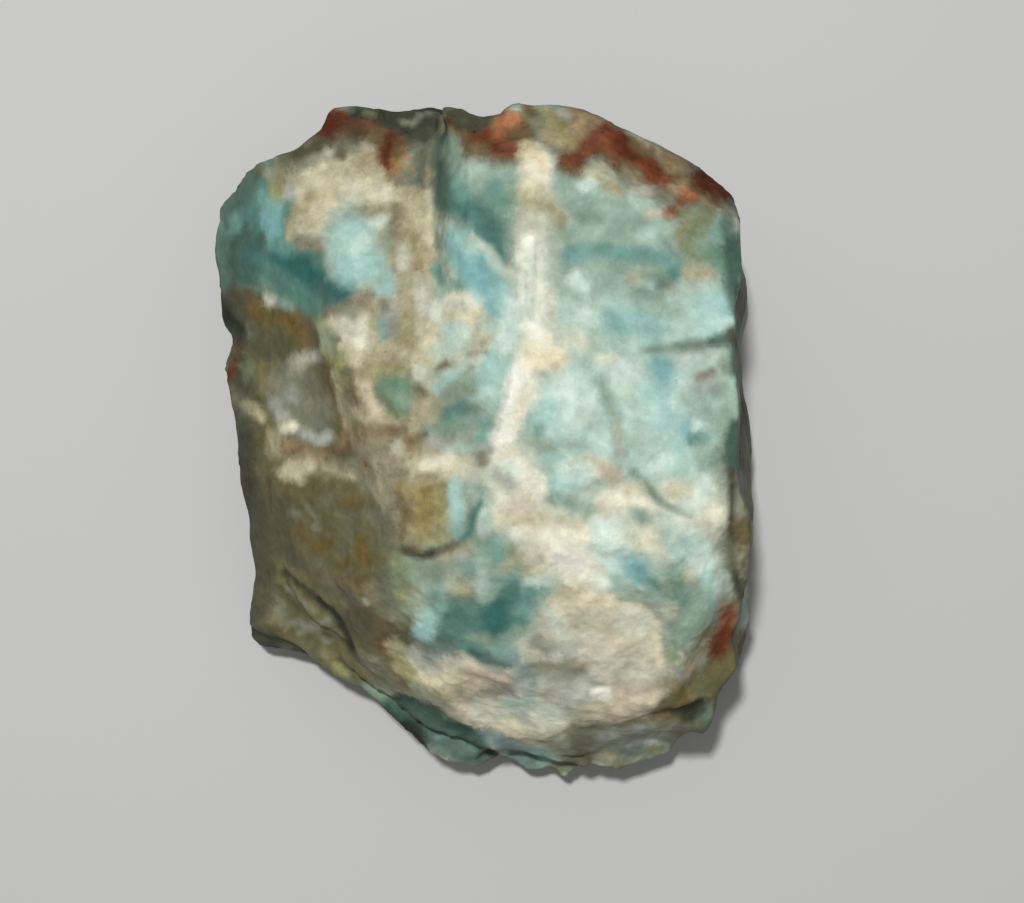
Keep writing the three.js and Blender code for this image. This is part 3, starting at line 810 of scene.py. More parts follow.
# The deep blue-green pool.
DEEP_POOL = (
    (TEAL, 24, 0.9, (452, 624), (480, 622), (518, 608)),
    (LAGOON, 13, 0.8, (496, 608), (494, 628)),
    (LAGOON, 8, 0.5, (508, 590), (514, 600)),
    (TEAL, 9, 0.6, (514, 588), (534, 596)),
    (SEA, 8, 0.7, (528, 590), (550, 593)),
    (SEA, 8, 0.6, (524, 608), (532, 612)),
    (SEA, 7, 0.6, (500, 582), (506, 578)),
    (SAGE, 6, 0.7, (518, 630), (506, 638)),
    (PINE, 8, 0.6, (446, 640), (450, 650)),
    (PINE, 6, 0.4, (448, 614), (456, 612)),
    (SEA, 10, 0.5, (498, 648), (512, 652)),
    (PINE, 6, 0.6, (478, 654), (492, 660), (504, 664)),
    (SAGE, 6, 0.8, (472, 638), (484, 640)),
    (MUSHROOM, 5, 0.6, (464, 578), (472, 579)),
    (SAND, 6, 0.8, (460, 588), (468, 589)),
    (MIST, 6, 0.7, (482, 576), (483, 588)),
    (MINT, 7, 0.6, (490, 590), (486, 596)),
    (SEA, 6, 0.5, (468, 570), (472, 574)),
    (AQUA, 11, 0.8, (430, 616), (424, 630)),
    (SKY, 7, 0.4, (420, 632), (428, 638)),
    (SEA, 7, 0.7, (438, 592), (440, 606)),
    (MINT, 6, 0.6, (444, 584), (442, 594)),
    (BONE, 7, 0.6, (452, 572), (452, 588)),
    (SAND, 7, 0.6, (444, 556), (470, 549)),
    (PEARL, 5, 0.7, (456, 560), (464, 558)),
    (SAGE, 6, 0.6, (466, 566), (448, 568)),
    (MINT, 7, 0.7, (424, 588), (418, 600)),
    (MINT, 6, 0.5, (486, 566), (490, 572)),
    (SAND, 6, 0.6, (504, 568), (520, 560)),
    (SAND, 5, 0.7, (526, 571), (538, 570)),
    (SAGE, 5, 0.6, (514, 572), (518, 568)),
    (MIST, 6, 0.8, (528, 580), (548, 581)),
    (PEARL, 6, 0.5, (548, 572), (552, 578)),
    (INK, 2, 0.6, (470, 650), (488, 661), (510, 667)),
)
# The cream slope below the pool.
CREAM_FOOT = (
    (SAND, 9, 1.0, (396, 648), (410, 660), (426, 678), (440, 698)),
    (CREAM, 8, 0.9, (414, 662), (428, 672), (436, 684)),
    (PEARL, 7, 0.8, (414, 652), (428, 658), (440, 660)),
    (CREAM, 13, 0.9, (446, 672), (480, 680)),
    (BUTTER, 4, 0.6, (438, 666), (452, 667)),
    (SHELL, 7, 0.9, (466, 668), (486, 674), (506, 679)),
    (TEAL, 5, 1.0, (462, 645), (476, 650), (488, 656)),
    (SEA, 7, 0.8, (498, 653), (514, 656)),
    (PINE, 2.5, 0.8, (470, 651), (488, 661), (510, 667)),
    (SAND, 7, 0.7, (452, 688), (470, 682)),
    (SAND, 7, 0.9, (444, 696), (464, 697)),
    (DUSK, 8, 0.9, (484, 692), (508, 691)),
    (SMOKE, 5, 0.6, (494, 694), (510, 696)),
    (SHELL, 7, 0.9, (462, 706), (472, 712)),
    (IVORY, 6, 0.8, (482, 712), (490, 713)),
    (CREAM, 8, 1.0, (486, 722), (520, 726)),
    (IVORY, 5, 0.4, (510, 722), (530, 730)),
    (PEARL, 6, 0.6, (498, 706), (514, 706)),
    (PEARL, 5, 0.8, (522, 712), (526, 722)),
    (SHELL, 5, 0.8, (512, 735), (544, 738)),
)
# The pale patch beside the pool.
CREAM_PATCH = (
    (BONE, 34, 1.0, (574, 626), (622, 634)),
    (BONE, 30, 1.0, (600, 665), (628, 672)),
    (CREAM, 12, 0.8, (562, 602), (596, 600), (616, 602)),
    (BUTTER, 5, 0.4, (584, 598), (610, 600)),
    (STRAW, 3, 0.5, (620, 599), (640, 602)),
    (SAND, 6, 0.6, (560, 590), (576, 591)),
    (BUTTER, 6, 0.4, (630, 606), (638, 610)),
    (IVORY, 8, 0.35, (556, 612), (566, 638)),
    (SAND, 8, 0.4, (570, 622), (606, 624)),
    (MIST, 7, 0.5, (552, 616), (566, 636)),
    (SHELL, 9, 0.5, (616, 640), (630, 646)),
    (SHELL, 6, 0.6, (646, 616), (654, 622)),
    (CREAM, 9, 0.4, (644, 640), (650, 650)),
    (BUTTER, 4, 0.5, (657, 634), (659, 666)),
    (SMOKE, 4, 0.8, (538, 643), (548, 652)),
    (PEARL, 5, 0.7, (532, 640), (538, 640)),
    (BONE, 5, 0.9, (526, 654), (540, 655)),
    (PEARL, 8, 0.6, (552, 650), (572, 652)),
    (SMOKE, 9, 0.8, (530, 670), (556, 670), (578, 670)),
    (TAN, 2, 0.6, (574, 664), (586, 662)),
    (CLAY, 4, 0.6, (576, 670), (582, 670)),
    (PEARL, 14, 0.8, (536, 690), (560, 692)),
    (PEARL, 10, 0.7, (576, 704), (586, 684)),
    (SMOKE, 3, 0.6, (590, 682), (602, 684)),
    # A painted highlight: a glint of the lamp.
    (CHALK, 4, 1.0, (597, 694), (605, 694)),
    (SHELL, 9, 0.7, (616, 694), (652, 694)),
    (DUSK, 6, 0.35, (628, 692), (646, 690)),
    (SAND, 8, 0.6, (590, 716), (616, 708)),
    (SHELL, 7, 0.7, (596, 712), (630, 706)),
    (MIST, 8, 0.6, (552, 712), (562, 716)),
    (SAND, 5, 0.7, (564, 728), (576, 724)),
    (CREAM, 5, 0.5, (652, 698), (662, 694)),
    # Painted shadow along the lower edge of the patch.
    (FAWN, 2, 0.8, (560, 742), (578, 732), (606, 727), (634, 723)),
)
# The broken ledges along the front, with painted shade in their steps and painted highlights along their
# rims.
LEDGES = (
    (KELP, 8, 1.0, (384, 700), (404, 712)),
    (SAGE, 6, 0.7, (368, 690), (376, 692)),
    (KELP, 16, 1.0, (424, 732), (450, 744), (474, 752)),
    (SLATE, 12, 0.6, (438, 738), (466, 750)),
    (PINE, 6, 0.4, (430, 724), (442, 730)),
    # Painted shadow down the left edge of the ledge.
    (PINE, 7, 0.9, (380, 710), (398, 720), (411, 734), (420, 748)),
    (SLATE, 2, 0.8, (412, 722), (422, 738), (434, 752), (450, 759)),
    (SEA, 2, 0.6, (438, 738), (449, 731), (456, 737)),
    (SEA, 3, 0.3, (462, 740), (474, 750)),
    # Painted highlight along the ledge's lit rim.
    (GULL, 2, 0.7, (454, 762), (470, 766), (484, 756)),
    # The next four marks are painted shade in the step under the cream's edge.
    (PINE, 5, 1.0, (394, 699), (414, 704), (434, 713), (446, 724), (462, 732), (478, 741), (490, 750)),
    (INK, 5, 0.7, (398, 699), (414, 703), (434, 711), (446, 721), (462, 731), (478, 741)),
    (PINE, 6, 0.9, (404, 707), (418, 711), (434, 718), (448, 728), (464, 737), (480, 746)),
    (INK, 5, 0.4, (406, 705), (420, 709), (436, 716), (450, 726), (464, 735)),
    (ASH, 4, 0.9, (488, 752), (496, 754)),
    (GULL, 7, 0.8, (484, 736), (504, 744)),
    (SLATE, 10, 0.9, (508, 750), (530, 762)),
    (PINE, 4, 0.4, (524, 756), (534, 758)),
    (GULL, 3, 0.6, (530, 748), (548, 756)),
    # Painted highlight along the lit rim.
    (SMOKE, 2, 0.7, (508, 764), (528, 771), (546, 764)),
    (SMOKE, 8, 0.9, (552, 748), (564, 750)),
    (CLAY, 8, 1.0, (558, 768), (570, 764)),
    (MOSS, 3, 0.5, (562, 768), (568, 770)),
    (BOG, 5, 0.9, (576, 744), (586, 756)),
    (OLIVE, 18, 0.9, (596, 742), (650, 740), (690, 728)),
    (CLAY, 12, 0.9, (580, 736), (606, 740), (630, 742)),
    (CLAY, 12, 0.9, (640, 732), (690, 730)),
    (SMOKE, 8, 0.6, (634, 740), (646, 744)),
    (PEARL, 5, 0.5, (615, 736), (620, 737)),
    (SMOKE, 10, 1.0, (600, 751), (612, 755)),
    (SAND, 4, 0.5, (604, 753), (610, 755)),
    (SLATE, 8, 0.8, (630, 752), (638, 748)),
    (GULL, 6, 0.8, (646, 734), (654, 733)),
    (SMOKE, 2, 0.8, (662, 730), (676, 722)),
    (SMOKE, 2, 0.9, (667, 747), (675, 740)),
    # Painted highlight along the lit rim, then painted shade along the step above the lowest ledge.
    (SMOKE, 2, 0.9, (592, 754), (606, 764), (630, 765), (656, 758), (676, 747), (694, 739), (698, 722)),
    (INK, 3, 0.9, (664, 714), (680, 712), (694, 709), (704, 701)),
    (UMBER, 3, 0.8, (656, 718), (668, 716)),
)
# What shows of the right wall: its dark marks are painted shade, and its thin pale lines at the bottom are
# painted highlights on the lit rim.
RIGHT_WALL = (
    (KELP, 5, 0.9, (730, 248), (729, 262), (729, 290), (733, 312), (736, 326)),
    (PINE, 4, 0.9, (733, 332), (733, 348), (735, 372)),
    (PINE, 5, 0.9, (736, 426), (731, 440), (729, 460)),
    (BOG, 26, 0.7, (745, 262), (746, 320), (746, 400), (745, 462)),
    (INK, 9, 0.6, (742, 262), (742, 300), (742, 340)),
    (INK, 9, 0.6, (744, 400), (742, 430), (741, 460)),
    (BRONZE, 3, 0.4, (747, 275), (747, 300), (744, 320)),
    (BOG, 4, 1.0, (734, 466), (733, 500), (731, 530), (734, 570), (742, 596)),
    (GULL, 4, 0.9, (741, 478), (743, 492)),
    (SMOKE, 5, 0.8, (742, 500), (742, 512)),
    (UMBER, 5, 0.8, (739, 524), (740, 550)),
    (INK, 4, 0.7, (751, 520), (752, 570)),
    (SMOKE, 3, 0.7, (747, 548), (747, 572)),
    (PEARL, 2, 0.7, (747, 600), (746, 616), (750, 632)),
    (BOG, 4, 0.9, (741, 632), (738, 650), (730, 664)),
    (SMOKE, 2, 0.7, (738, 624), (734, 646), (724, 668), (716, 684), (706, 698)),
)
# Small touches where the minerals run together, and a few of painted shade and one painted highlight.
SEAMS = (
    (OLIVE, 11, 1.0, (366, 674), (376, 682)),
    (MUSHROOM, 9, 0.8, (372, 664), (390, 678)),
    (CLAY, 8, 0.9, (377, 681), (391, 688)),
    (SAGE, 5, 0.7, (372, 690), (384, 695)),
    (UMBER, 9, 1.0, (362, 131), (376, 139)),
    (UMBER, 9, 1.0, (346, 128), (356, 134)),
    (BOG, 9, 0.6, (346, 129), (354, 133)),
    (OXBLOOD, 7, 0.6, (348, 123), (360, 128)),
    (MUSHROOM, 6, 0.7, (331, 134), (338, 137)),
    (CLAY, 9, 0.9, (568, 756), (584, 760)),
    (BOG, 7, 0.6, (574, 758), (590, 758)),
    # A painted highlight: a glint of the lamp.
    (CHALK, 6, 1.0, (598, 694), (604, 694)),
    (SMOKE, 8, 0.8, (344, 308), (354, 314)),
    (BONE, 9, 0.8, (344, 325), (354, 328)),
    (MOSS, 8, 0.6, (320, 322), (328, 334)),
    (SAND, 8, 0.9, (364, 170), (374, 173)),
    (OXBLOOD, 8, 0.6, (393, 142), (399, 152)),
    (CLAY, 8, 0.6, (262, 168), (272, 172)),
    (SAND, 8, 0.8, (298, 216), (308, 222)),
    (SEA, 8, 0.8, (264, 198), (272, 210)),
    (TEAL, 9, 0.8, (254, 268), (268, 277)),
    (CLAY, 7, 0.5, (258, 287), (268, 289)),
    (SAGE, 9, 0.4, (388, 384), (402, 398)),
    (CLAY, 8, 0.6, (341, 146), (354, 148)),
    (MUSHROOM, 8, 0.5, (286, 176), (298, 180)),
    (MUSHROOM, 9, 0.8, (363, 450), (382, 452)),
    (MUSHROOM, 9, 0.8, (384, 470), (398, 474)),
    (CREAM, 7, 0.6, (290, 464), (308, 464)),
    (LINEN, 8, 0.8, (422, 296), (428, 308)),
    (LINEN, 8, 0.7, (420, 374), (430, 376)),
    (MINT, 7, 0.6, (436, 374), (442, 378)),
    (LINEN, 8, 0.8, (464, 474), (478, 476)),
    (FROST, 9, 0.9, (511, 306), (512, 324), (506, 342)),
    (MUSHROOM, 8, 0.6, (468, 152), (481, 154)),
    (TAN, 7, 0.6, (524, 149), (535, 152)),
    (UMBER, 9, 0.9, (566, 166), (580, 168)),
    (SAND, 7, 0.6, (589, 172), (596, 175)),
    (BONE, 7, 0.8, (637, 186), (646, 189)),
    (MUSHROOM, 7, 0.8, (627, 175), (637, 179)),
    (UMBER, 9, 0.7, (669, 158), (687, 165)),
    (FROST, 10, 0.9, (570, 470), (584, 472)),
    (FROST, 12, 1.0, (600, 548), (618, 556)),
    (MINT, 9, 0.9, (602, 582), (620, 586)),
    (MINT, 9, 0.7, (630, 594), (650, 594)),
    (LINEN, 10, 0.8, (626, 616), (643, 620)),
    (SHELL, 7, 0.7, (626, 716), (642, 713)),
    (CREAM, 8, 0.7, (578, 712), (596, 710)),
    (MIST, 10, 0.8, (510, 704), (532, 702)),
    (LINEN, 9, 0.8, (538, 714), (552, 716)),
    (LINEN, 8, 0.8, (450, 304), (464, 306)),
    (SAGE, 9, 0.9, (447, 140), (450, 164)),
    (KELP, 7, 0.9, (442, 166), (443, 204)),
    (SEA, 8, 0.7, (276, 242), (288, 250)),
    (GULL, 8, 0.7, (512, 662), (526, 666)),
    (GULL, 8, 0.7, (518, 678), (532, 682)),
    (MIST, 8, 0.6, (684, 502), (696, 505)),
    (MINT, 8, 0.6, (668, 540), (680, 541)),
    (SKY, 8, 0.6, (618, 558), (630, 562)),
    (FAWN, 8, 0.8, (584, 114), (598, 118)),
    (UMBER, 8, 0.8, (470, 146), (482, 149)),
    (OCHRE, 8, 0.6, (402, 488), (412, 494)),
    (RUST, 9, 0.8, (572, 161), (590, 150)),
    (BRICK, 8, 0.7, (586, 148), (602, 136)),
    (BUTTER, 12, 0.5, (531, 156), (532, 184)),
    # The next three marks are painted shade on and near the left rim.
    (PINE, 12, 0.8, (232, 200), (240, 188)),
    (BOG, 16, 0.9, (254, 508), (258, 540)),
    (PINE, 12, 0.8, (238, 262), (248, 272)),
    (OLIVE, 8, 0.8, (390, 664), (400, 670)),
    (FROST, 9, 0.8, (606, 552), (612, 556)),
    (CHALK, 9, 0.6, (592, 576), (600, 582)),
    (CREAM, 7, 0.7, (286, 474), (298, 476)),
    (MOSS, 8, 0.5, (513, 194), (521, 196)),
    (BONE, 8, 0.8, (544, 691), (552, 693)),
    (MUSHROOM, 8, 0.6, (660, 684), (668, 686)),
    (UMBER, 8, 0.5, (710, 634), (714, 640)),
    (OXBLOOD, 12, 0.9, (704, 177), (714, 184), (724, 194)),
    (OXBLOOD, 9, 0.8, (322, 119), (334, 120)),
    (ASH, 10, 0.9, (460, 115), (476, 119)),
    # Painted shade on the right rim.
    (KELP, 8, 0.9, (727, 268), (729, 280)),
    # The next three marks are painted shade: under the lowest ledge and along the lower left rim.
    (INK, 10, 0.7, (402, 723), (414, 731)),
    (BOG, 13, 0.8, (261, 578), (265, 594)),
    (BOG, 13, 0.8, (262, 628), (270, 638)),
    (SMOKE, 8, 0.6, (536, 642), (550, 648)),
    (SMOKE, 9, 0.6, (552, 677), (568, 680)),
    (SLATE, 8, 0.6, (488, 662), (498, 668)),
    (SAGE, 8, 0.7, (646, 272), (658, 272)),
    (SLATE, 9, 0.8, (434, 651), (451, 655)),
    (MUSHROOM, 8, 0.5, (464, 692), (478, 694)),
    (MUSHROOM, 8, 0.6, (398, 668), (404, 674)),
    (STRAW, 8, 0.8, (400, 664), (409, 673)),
    (SMOKE, 9, 0.9, (420, 692), (434, 698)),
    (LINEN, 9, 0.9, (478, 711), (494, 716)),
    (LINEN, 8, 0.9, (544, 722), (558, 722)),
    (PEARL, 8, 0.6, (424, 662), (436, 664)),
    (BONE, 8, 0.7, (450, 662), (460, 664)),
    (FERN, 8, 0.5, (504, 204), (510, 216)),
    (SAND, 8, 0.7, (540, 192), (550, 198)),
    (SAGE, 8, 0.8, (702, 244), (712, 250)),
    (OLIVE, 8, 0.5, (402, 538), (414, 543)),
    (FERN, 9, 0.8, (712, 256), (721, 264)),
    (MOSS, 8, 0.7, (684, 214), (692, 220)),
    (SMOKE, 8, 0.8, (443, 706), (457, 717)),
    (GULL, 9, 0.7, (502, 748), (520, 753)),
    (PEARL, 9, 0.5, (606, 736), (628, 738)),
    (PEARL, 9, 0.9, (642, 734), (666, 734)),
)
# The dark edge all round is painted shade, with rust where the rock weathered.
RIM_SHADE_AND_RUST = (
    (INK, 14, 1.0, (391, 719), (404, 731), (415, 745)),
    (PINE, 8, 0.7, (394, 708), (406, 713), (420, 717)),
    (INK, 13, 1.0, (226, 312), (230, 326), (233, 338)),
    (BOG, 9, 0.9, (232, 294), (241, 306), (244, 318)),
    (BOG, 13, 1.0, (229, 340), (234, 352)),
    (OXBLOOD, 17, 1.0, (325, 110), (326, 124)),
    (BOG, 11, 0.8, (300, 149), (314, 141)),
    (KELP, 11, 1.0, (228, 204), (234, 194), (247, 183)),
    (KELP, 9, 0.9, (218, 236), (220, 260), (224, 282)),
    (BOG, 14, 1.0, (255, 574), (258, 606)),
    (BOG, 13, 1.0, (252, 628), (270, 641)),
    (INK, 10, 0.4, (252, 630), (270, 642)),
    (BOG, 13, 1.0, (240, 425), (243, 480), (250, 532)),
    (INK, 9, 0.4, (240, 440), (244, 490), (250, 530)),
    (BOG, 12, 0.9, (251, 520), (256, 574)),
    (CLAY, 8, 0.7, (238, 398), (246, 410)),
    (BOG, 9, 0.9, (457, 114), (477, 118)),
    (UMBER, 8, 0.8, (512, 111), (530, 112)),
    (OXBLOOD, 8, 0.6, (611, 126), (622, 134)),
    (OXBLOOD, 10, 0.9, (706, 178), (719, 186), (728, 195)),
    (CLAY, 8, 0.8, (729, 206), (730, 220)),
    (KELP, 8, 0.9, (728, 230), (734, 246)),
    (CLAY, 8, 0.9, (729, 548), (731, 566)),
    (PINE, 9, 1.0, (734, 246), (735, 268)),
    (PINE, 6, 1.0, (734, 268), (735, 290), (738, 328)),
    (BOG, 8, 0.9, (731, 338), (737, 345)),
    (KELP, 7, 0.7, (720, 341), (737, 340)),
    (PINE, 9, 0.9, (736, 432), (735, 462)),
    (UMBER, 9, 1.0, (729, 632), (725, 652), (716, 669)),
    (OLIVE, 15, 1.0, (736, 652), (730, 670), (716, 688)),
    (OLIVE, 9, 0.9, (708, 676), (694, 685)),
    (INK, 8, 0.8, (688, 715), (703, 708)),
    (FAWN, 10, 0.9, (729, 611), (728, 620)),
    (BRICK, 8, 0.8, (729, 615), (726, 630)),
    (RUST, 11, 0.9, (723, 632), (717, 648)),
    (OXBLOOD, 6, 0.6, (718, 638), (716, 648)),
)
shell = BVHTree.FromObject(stone, bpy.context.evaluated_depsgraph_get())


def seen(x, y):
    """The place on the stone that shows at x, y, and its height as it counts in distances."""
    ray = Vector(((x - VIEW_WIDTH / 2) / FOCUS, (VIEW_HEIGHT / 2 - y) / FOCUS, -1))
    hit = shell.ray_cast(EYE, ray)[0]
    if hit is None:
        hit = shell.find_nearest(EYE + ray * (EYE.z - LOW_EDGE))[0]
    return np.array((x, y, hit.z * HEIGHT_COUNTS))


# Each point as the camera sees it. The marks are laid twice, with other broken edges each time: how far
# a wide mark's edge strays at each point is kept here, and a thin mark's edge strays less.
scale = FOCUS / (EYE.z - places[:, 2])
view = np.tile(np.column_stack((
    VIEW_WIDTH / 2 + (places[:, 0] - EYE.x) * scale,
    VIEW_HEIGHT / 2 - (places[:, 1] - EYE.y) * scale,
    places[:, 2] * HEIGHT_COUNTS,
)), (2, 1))
COARSE_STRAY = (3, 3, 8)
FINE_STRAY = 3.5
stray = np.zeros((2 * count, 3))
for axis, most in enumerate(COARSE_STRAY):
    coarse = most * wander(3.5, 2, 5 + axis)
    small = [FINE_STRAY * wander(0.9, 3, seed + axis) for seed in (15, 55)]
    stray[:, axis] = np.concatenate((coarse + small[0], coarse + small[1]))
# Up and down it strays on the steep sides only, and no mark reaches the underside.
stray[:, 2] *= np.tile(step(0.6, 0.2, facing[:, 2]), 2)
farthest = np.abs(stray).max()
upward = np.tile(step(-0.25, 0.12, facing[:, 2]), 2)

pigment = np.tile(MINT[0], (2 * count, 1))
grit = np.full(2 * count, MINT[1])
lift = np.full(2 * count, MINT[2])


def blend_in(mineral, share, where=slice(None)):
    """Lays a mineral over what is there, by a share from 0 to 1 at each point."""
    shade, grain, proud = mineral
    pigment[where] += (shade - pigment[where]) * share[:, None]
    grit[where] += (grain - grit[where]) * share
    lift[where] += (proud - lift[where]) * share


def near(points, reach, raggedness):
    """The points of the stone in reach of a line through the seen places, and how far they lie."""
    way = np.array([seen(*p) for p in points])
    low = way.min(axis=0) - reach - farthest * raggedness
    high = way.max(axis=0) + reach + farthest * raggedness
    inside = np.flatnonzero(((view > low) & (view < high)).all(axis=1))
    spots = view[inside] + stray[inside] * raggedness
    best = np.full(len(inside), float(reach))
    for a, b in zip(way, way[1:] if len(way) > 1 else way):
        along = b - a
        share = np.clip((spots - a) @ along / max(along @ along, 1e-9), 0, 1)
        best = np.minimum(best, np.linalg.norm(spots - a - share[:, None] * along, axis=1))
    return inside, best


def lay(mineral, half_width, strength, *points):
    """Lays one mark: full in its middle, and thinning out over its edges."""
    fade = 2 + 0.5 * half_width
    raggedness = min(1, 0.25 + half_width / 14)
    inside, distance = near(points, half_width + fade, raggedness)
    share = strength * step(half_width + fade, half_width - fade, distance)
    blend_in(mineral, share * upward[inside], inside)


# Where no mark lies, the minerals are as they grew: bands and pockets all through the stone.
bands = np.tile(wander(13, 4, 30), 2)
pockets = np.tile(wander(6, 5, 31), 2)
veins = np.tile(np.abs(wander(11, 4, 33)), 2)
blend_in(SEA, 0.8 * step(-0.1, 0.3, bands))
blend_in(OLIVE, step(0.0, -0.3, bands))
blend_in(BONE, 0.8 * step(0.1, 0.45, pockets))
blend_in(TEAL, 0.7 * step(0.0, 0.35, -pockets) * step(-0.2, 0.1, bands))
blend_in(UMBER, 0.8 * step(0.1, 0.4, -pockets) * step(0.1, -0.2, bands))
blend_in(IVORY, 0.7 * step(0.07, 0.02, veins) * step(-0.3, 0.0, bands))

REGIONS = (
    GROUND, UPPER_LEFT, TAN_BAND, NOTCH, RIGHT_BLOCK, RUST_EDGE, RIGHT_MIDDLE, LOWER_MIDDLE, CENTRE, VEIN,
    LEFT_FLANK, OLIVE_FACE, CORNER, DEEP_POOL, CREAM_FOOT, CREAM_PATCH, LEDGES, RIGHT_WALL,
    SEAMS, RIM_SHADE_AND_RUST,
)
for region in REGIONS:
    for mark in region:
        lay(*mark)

# Its steep sides are weathered in blotches.
weather = 0.8 * np.tile(step(0.25, 0.0, facing[:, 2]), 2)
blotches = np.tile(wander(5, 4, 34), 2)
blend_in(KELP, weather * step(-0.05, 0.1, blotches))
blend_in(CLAY, weather * step(0.05, -0.1, blotches))

ends = np.zeros(2 * len(stone.data.edges), dtype=int)
stone.data.edges.foreach_get("vertices", ends)
ends = ends.reshape(-1, 2)
neighbours = np.bincount(ends.ravel(), minlength=count)


def evened(values, rounds):
    """A value at each point, made even over the points around it."""
    for _ in range(rounds):
        total = np.bincount(ends[:, 0], values[ends[:, 1]], count)
        total += np.bincount(ends[:, 1], values[ends[:, 0]], count)
        values = 0.3 * values + 0.7 * total / neighbours
    return values


# The palette is what the stone looks like from above. Where it slopes away from the lamp, or lies lower,
# the mineral is paler by as much as it is lit less.
LAMP = Vector((-30, 75, 330)) * MM
TOP = 28 * MM  # the height of the stone's top, where the light counts as 1
SKY_SHARE = 0.22  # of that light
FLOOR_SHARE = 0.35
BRIGHTNESS = 1.15
DARKEST, PALEST = 0.6, 0.95
to_lamp = np.array(LAMP) - places
away = np.linalg.norm(to_lamp, axis=1)
direct = np.clip((to_lamp * facing).sum(axis=1) / away, 0, 1) * (LAMP.z - TOP) ** 2 / away ** 2
around = SKY_SHARE * (0.5 + 0.5 * facing[:, 2]) + FLOOR_SHARE * (0.5 - 0.5 * facing[:, 2])
lit = evened(around + (1 - SKY_SHARE) * direct, 60)
pigment /= BRIGHTNESS * np.tile(np.clip(lit, DARKEST, None), 2)[:, None]
pigment *= np.minimum(1, PALEST / pigment.max(axis=1))[:, None]

# The steep broken sides are painted dull and dark: painted shade where they turn from the light, and the dark
# skin of weather.
WALL_SHADE_AND_WEATHER = 0.6
steep = step(0.7, 0.1, evened(facing[:, 2], 3))
pigment *= np.tile(1 - WALL_SHADE_AND_WEATHER * steep, 2)[:, None]

# ---------------------------------------------------------------------------------------------------
# Its relief. Hard minerals stand a little proud of soft ones, the rock is pitted all over, and cracks
# run where it began to break. The flat patch that it rests on stays flat.
# ---------------------------------------------------------------------------------------------------
SWELL, LUMP, PIT, GRAIN = 0.24, 0.13, 0.09, 0.03  # mm, from wide and shallow to fine
CRACKS = (  # how deep in mm, half the width, and the way that it runs
    (0.25, 6, (726, 343), (700, 345), (684, 347)),
    (0.15, 5, (684, 347), (664, 348), (644, 351)),
    (0.25, 5, (284, 573), (300, 588), (316, 601), (330, 613), (340, 626), (348, 640), (352, 652)),
    (0.4, 3, (250, 628), (268, 634), (285, 644), (304, 657)),
    (0.2, 5, (398, 698), (414, 702), (434, 710), (446, 720), (462, 730), (478, 741)),
    (0.15, 4, (540, 744), (570, 732), (600, 730), (625, 726), (645, 719)),
    (0.25, 4, (645, 719), (668, 713), (690, 709), (702, 704)),
    (0.12, 4, (402, 551), (420, 557), (442, 552), (460, 544), (472, 530), (472, 512)),
    (0.05, 6, (602, 382), (607, 398), (612, 414), (620, 440)),
    (0.06, 6, (634, 472), (646, 486), (658, 500), (676, 509), (690, 514)),
)

sink = np.zeros(2 * count)
for depth, half_width, *points in CRACKS:
    inside, distance = near(points, 3 * half_width, 0.3)
    sink[inside] = np.maximum(sink[inside], depth * np.exp(-(distance / half_width) ** 2) * upward[inside])

# Three bits of its rim stand out a little past the solid.
BITS = (  # how far in mm, half the width, and where
    (0.65, 12, (492, 124), (512, 116)),
    (0.5, 8, (239, 350), (237, 364)),
    (0.75, 16, (262, 596), (264, 632)),
)
stand = np.zeros(2 * count)
for farther, half_width, *points in BITS:
    inside, distance = near(points, 3 * half_width, 0.3)
    stand[inside] += farther * np.exp(-(distance / half_width) ** 2)

unevenness = 0.35 + 0.9 * grit[:count]
move = SWELL * wander(5, 2, 60) + LUMP * wander(2, 3, 61) * unevenness
move += (PIT * wander(0.9, 2, 62) - GRAIN * np.abs(wander(0.45, 1, 63))) * unevenness
move += lift[:count] - sink[:count] + stand[:count]
move *= step(0.1 * MM, 1.2 * MM, places[:, 2])  # none at the foot
moved = places + facing * move[:, None] * MM
moved[:, 2] = np.maximum(moved[:, 2], 0)
stone.data.vertices.foreach_set("co", moved.ravel())
stone.data.update()
bpy.ops.object.shade_smooth()

# Its hollows are painted darker as painted shade, and its high spots paler as painted light.
HOLLOW_SHADE = 2.2  # how much darker it is for each mm that it lies below what is around it
above = move - evened(move, 12)
pigment *= np.tile(np.clip(1 + HOLLOW_SHADE * above, 0.62, 1.2), 2)[:, None]

for name, half in (("pigment", slice(0, count)), ("fleck", slice(count, None))):
    skin = stone.data.attributes.new(name, "FLOAT_COLOR", "POINT")
    layer = np.column_stack((pigment[half], grit[half]))
    skin.data.foreach_set("color", layer.astype(np.float32).ravel())


# ---------------------------------------------------------------------------------------------------
# Its surface: the minerals' own colours, broken up into grains, with the dull skin of broken rock and
# a glassy shine only on the blue.
# ---------------------------------------------------------------------------------------------------
rock = bpy.data.materials.new("larimar")
rock.use_nodes = True
tree = rock.node_tree
surface = tree.nodes["Principled BSDF"]
surface.inputs["IOR"].default_value = 1.5
surface.inputs["Specular IOR Level"].default_value = 0.1


def node(kind, **settings):
    """A new node: its settings and its sockets' values by name, with links from other sockets."""
    made = tree.nodes.new("ShaderNode" + kind)
    for key, value in settings.items():
        if key in made.bl_rna.properties:
            setattr(made, key, value)
            continue
        socket = made.inputs[int(key[1:]) if key[0] == "i" and key[1:].isdigit() else key.replace("_", " ")]
        if isinstance(value, bpy.types.NodeSocket):
            tree.links.new(value, socket)
        else:
            socket.default_value = value
    return made


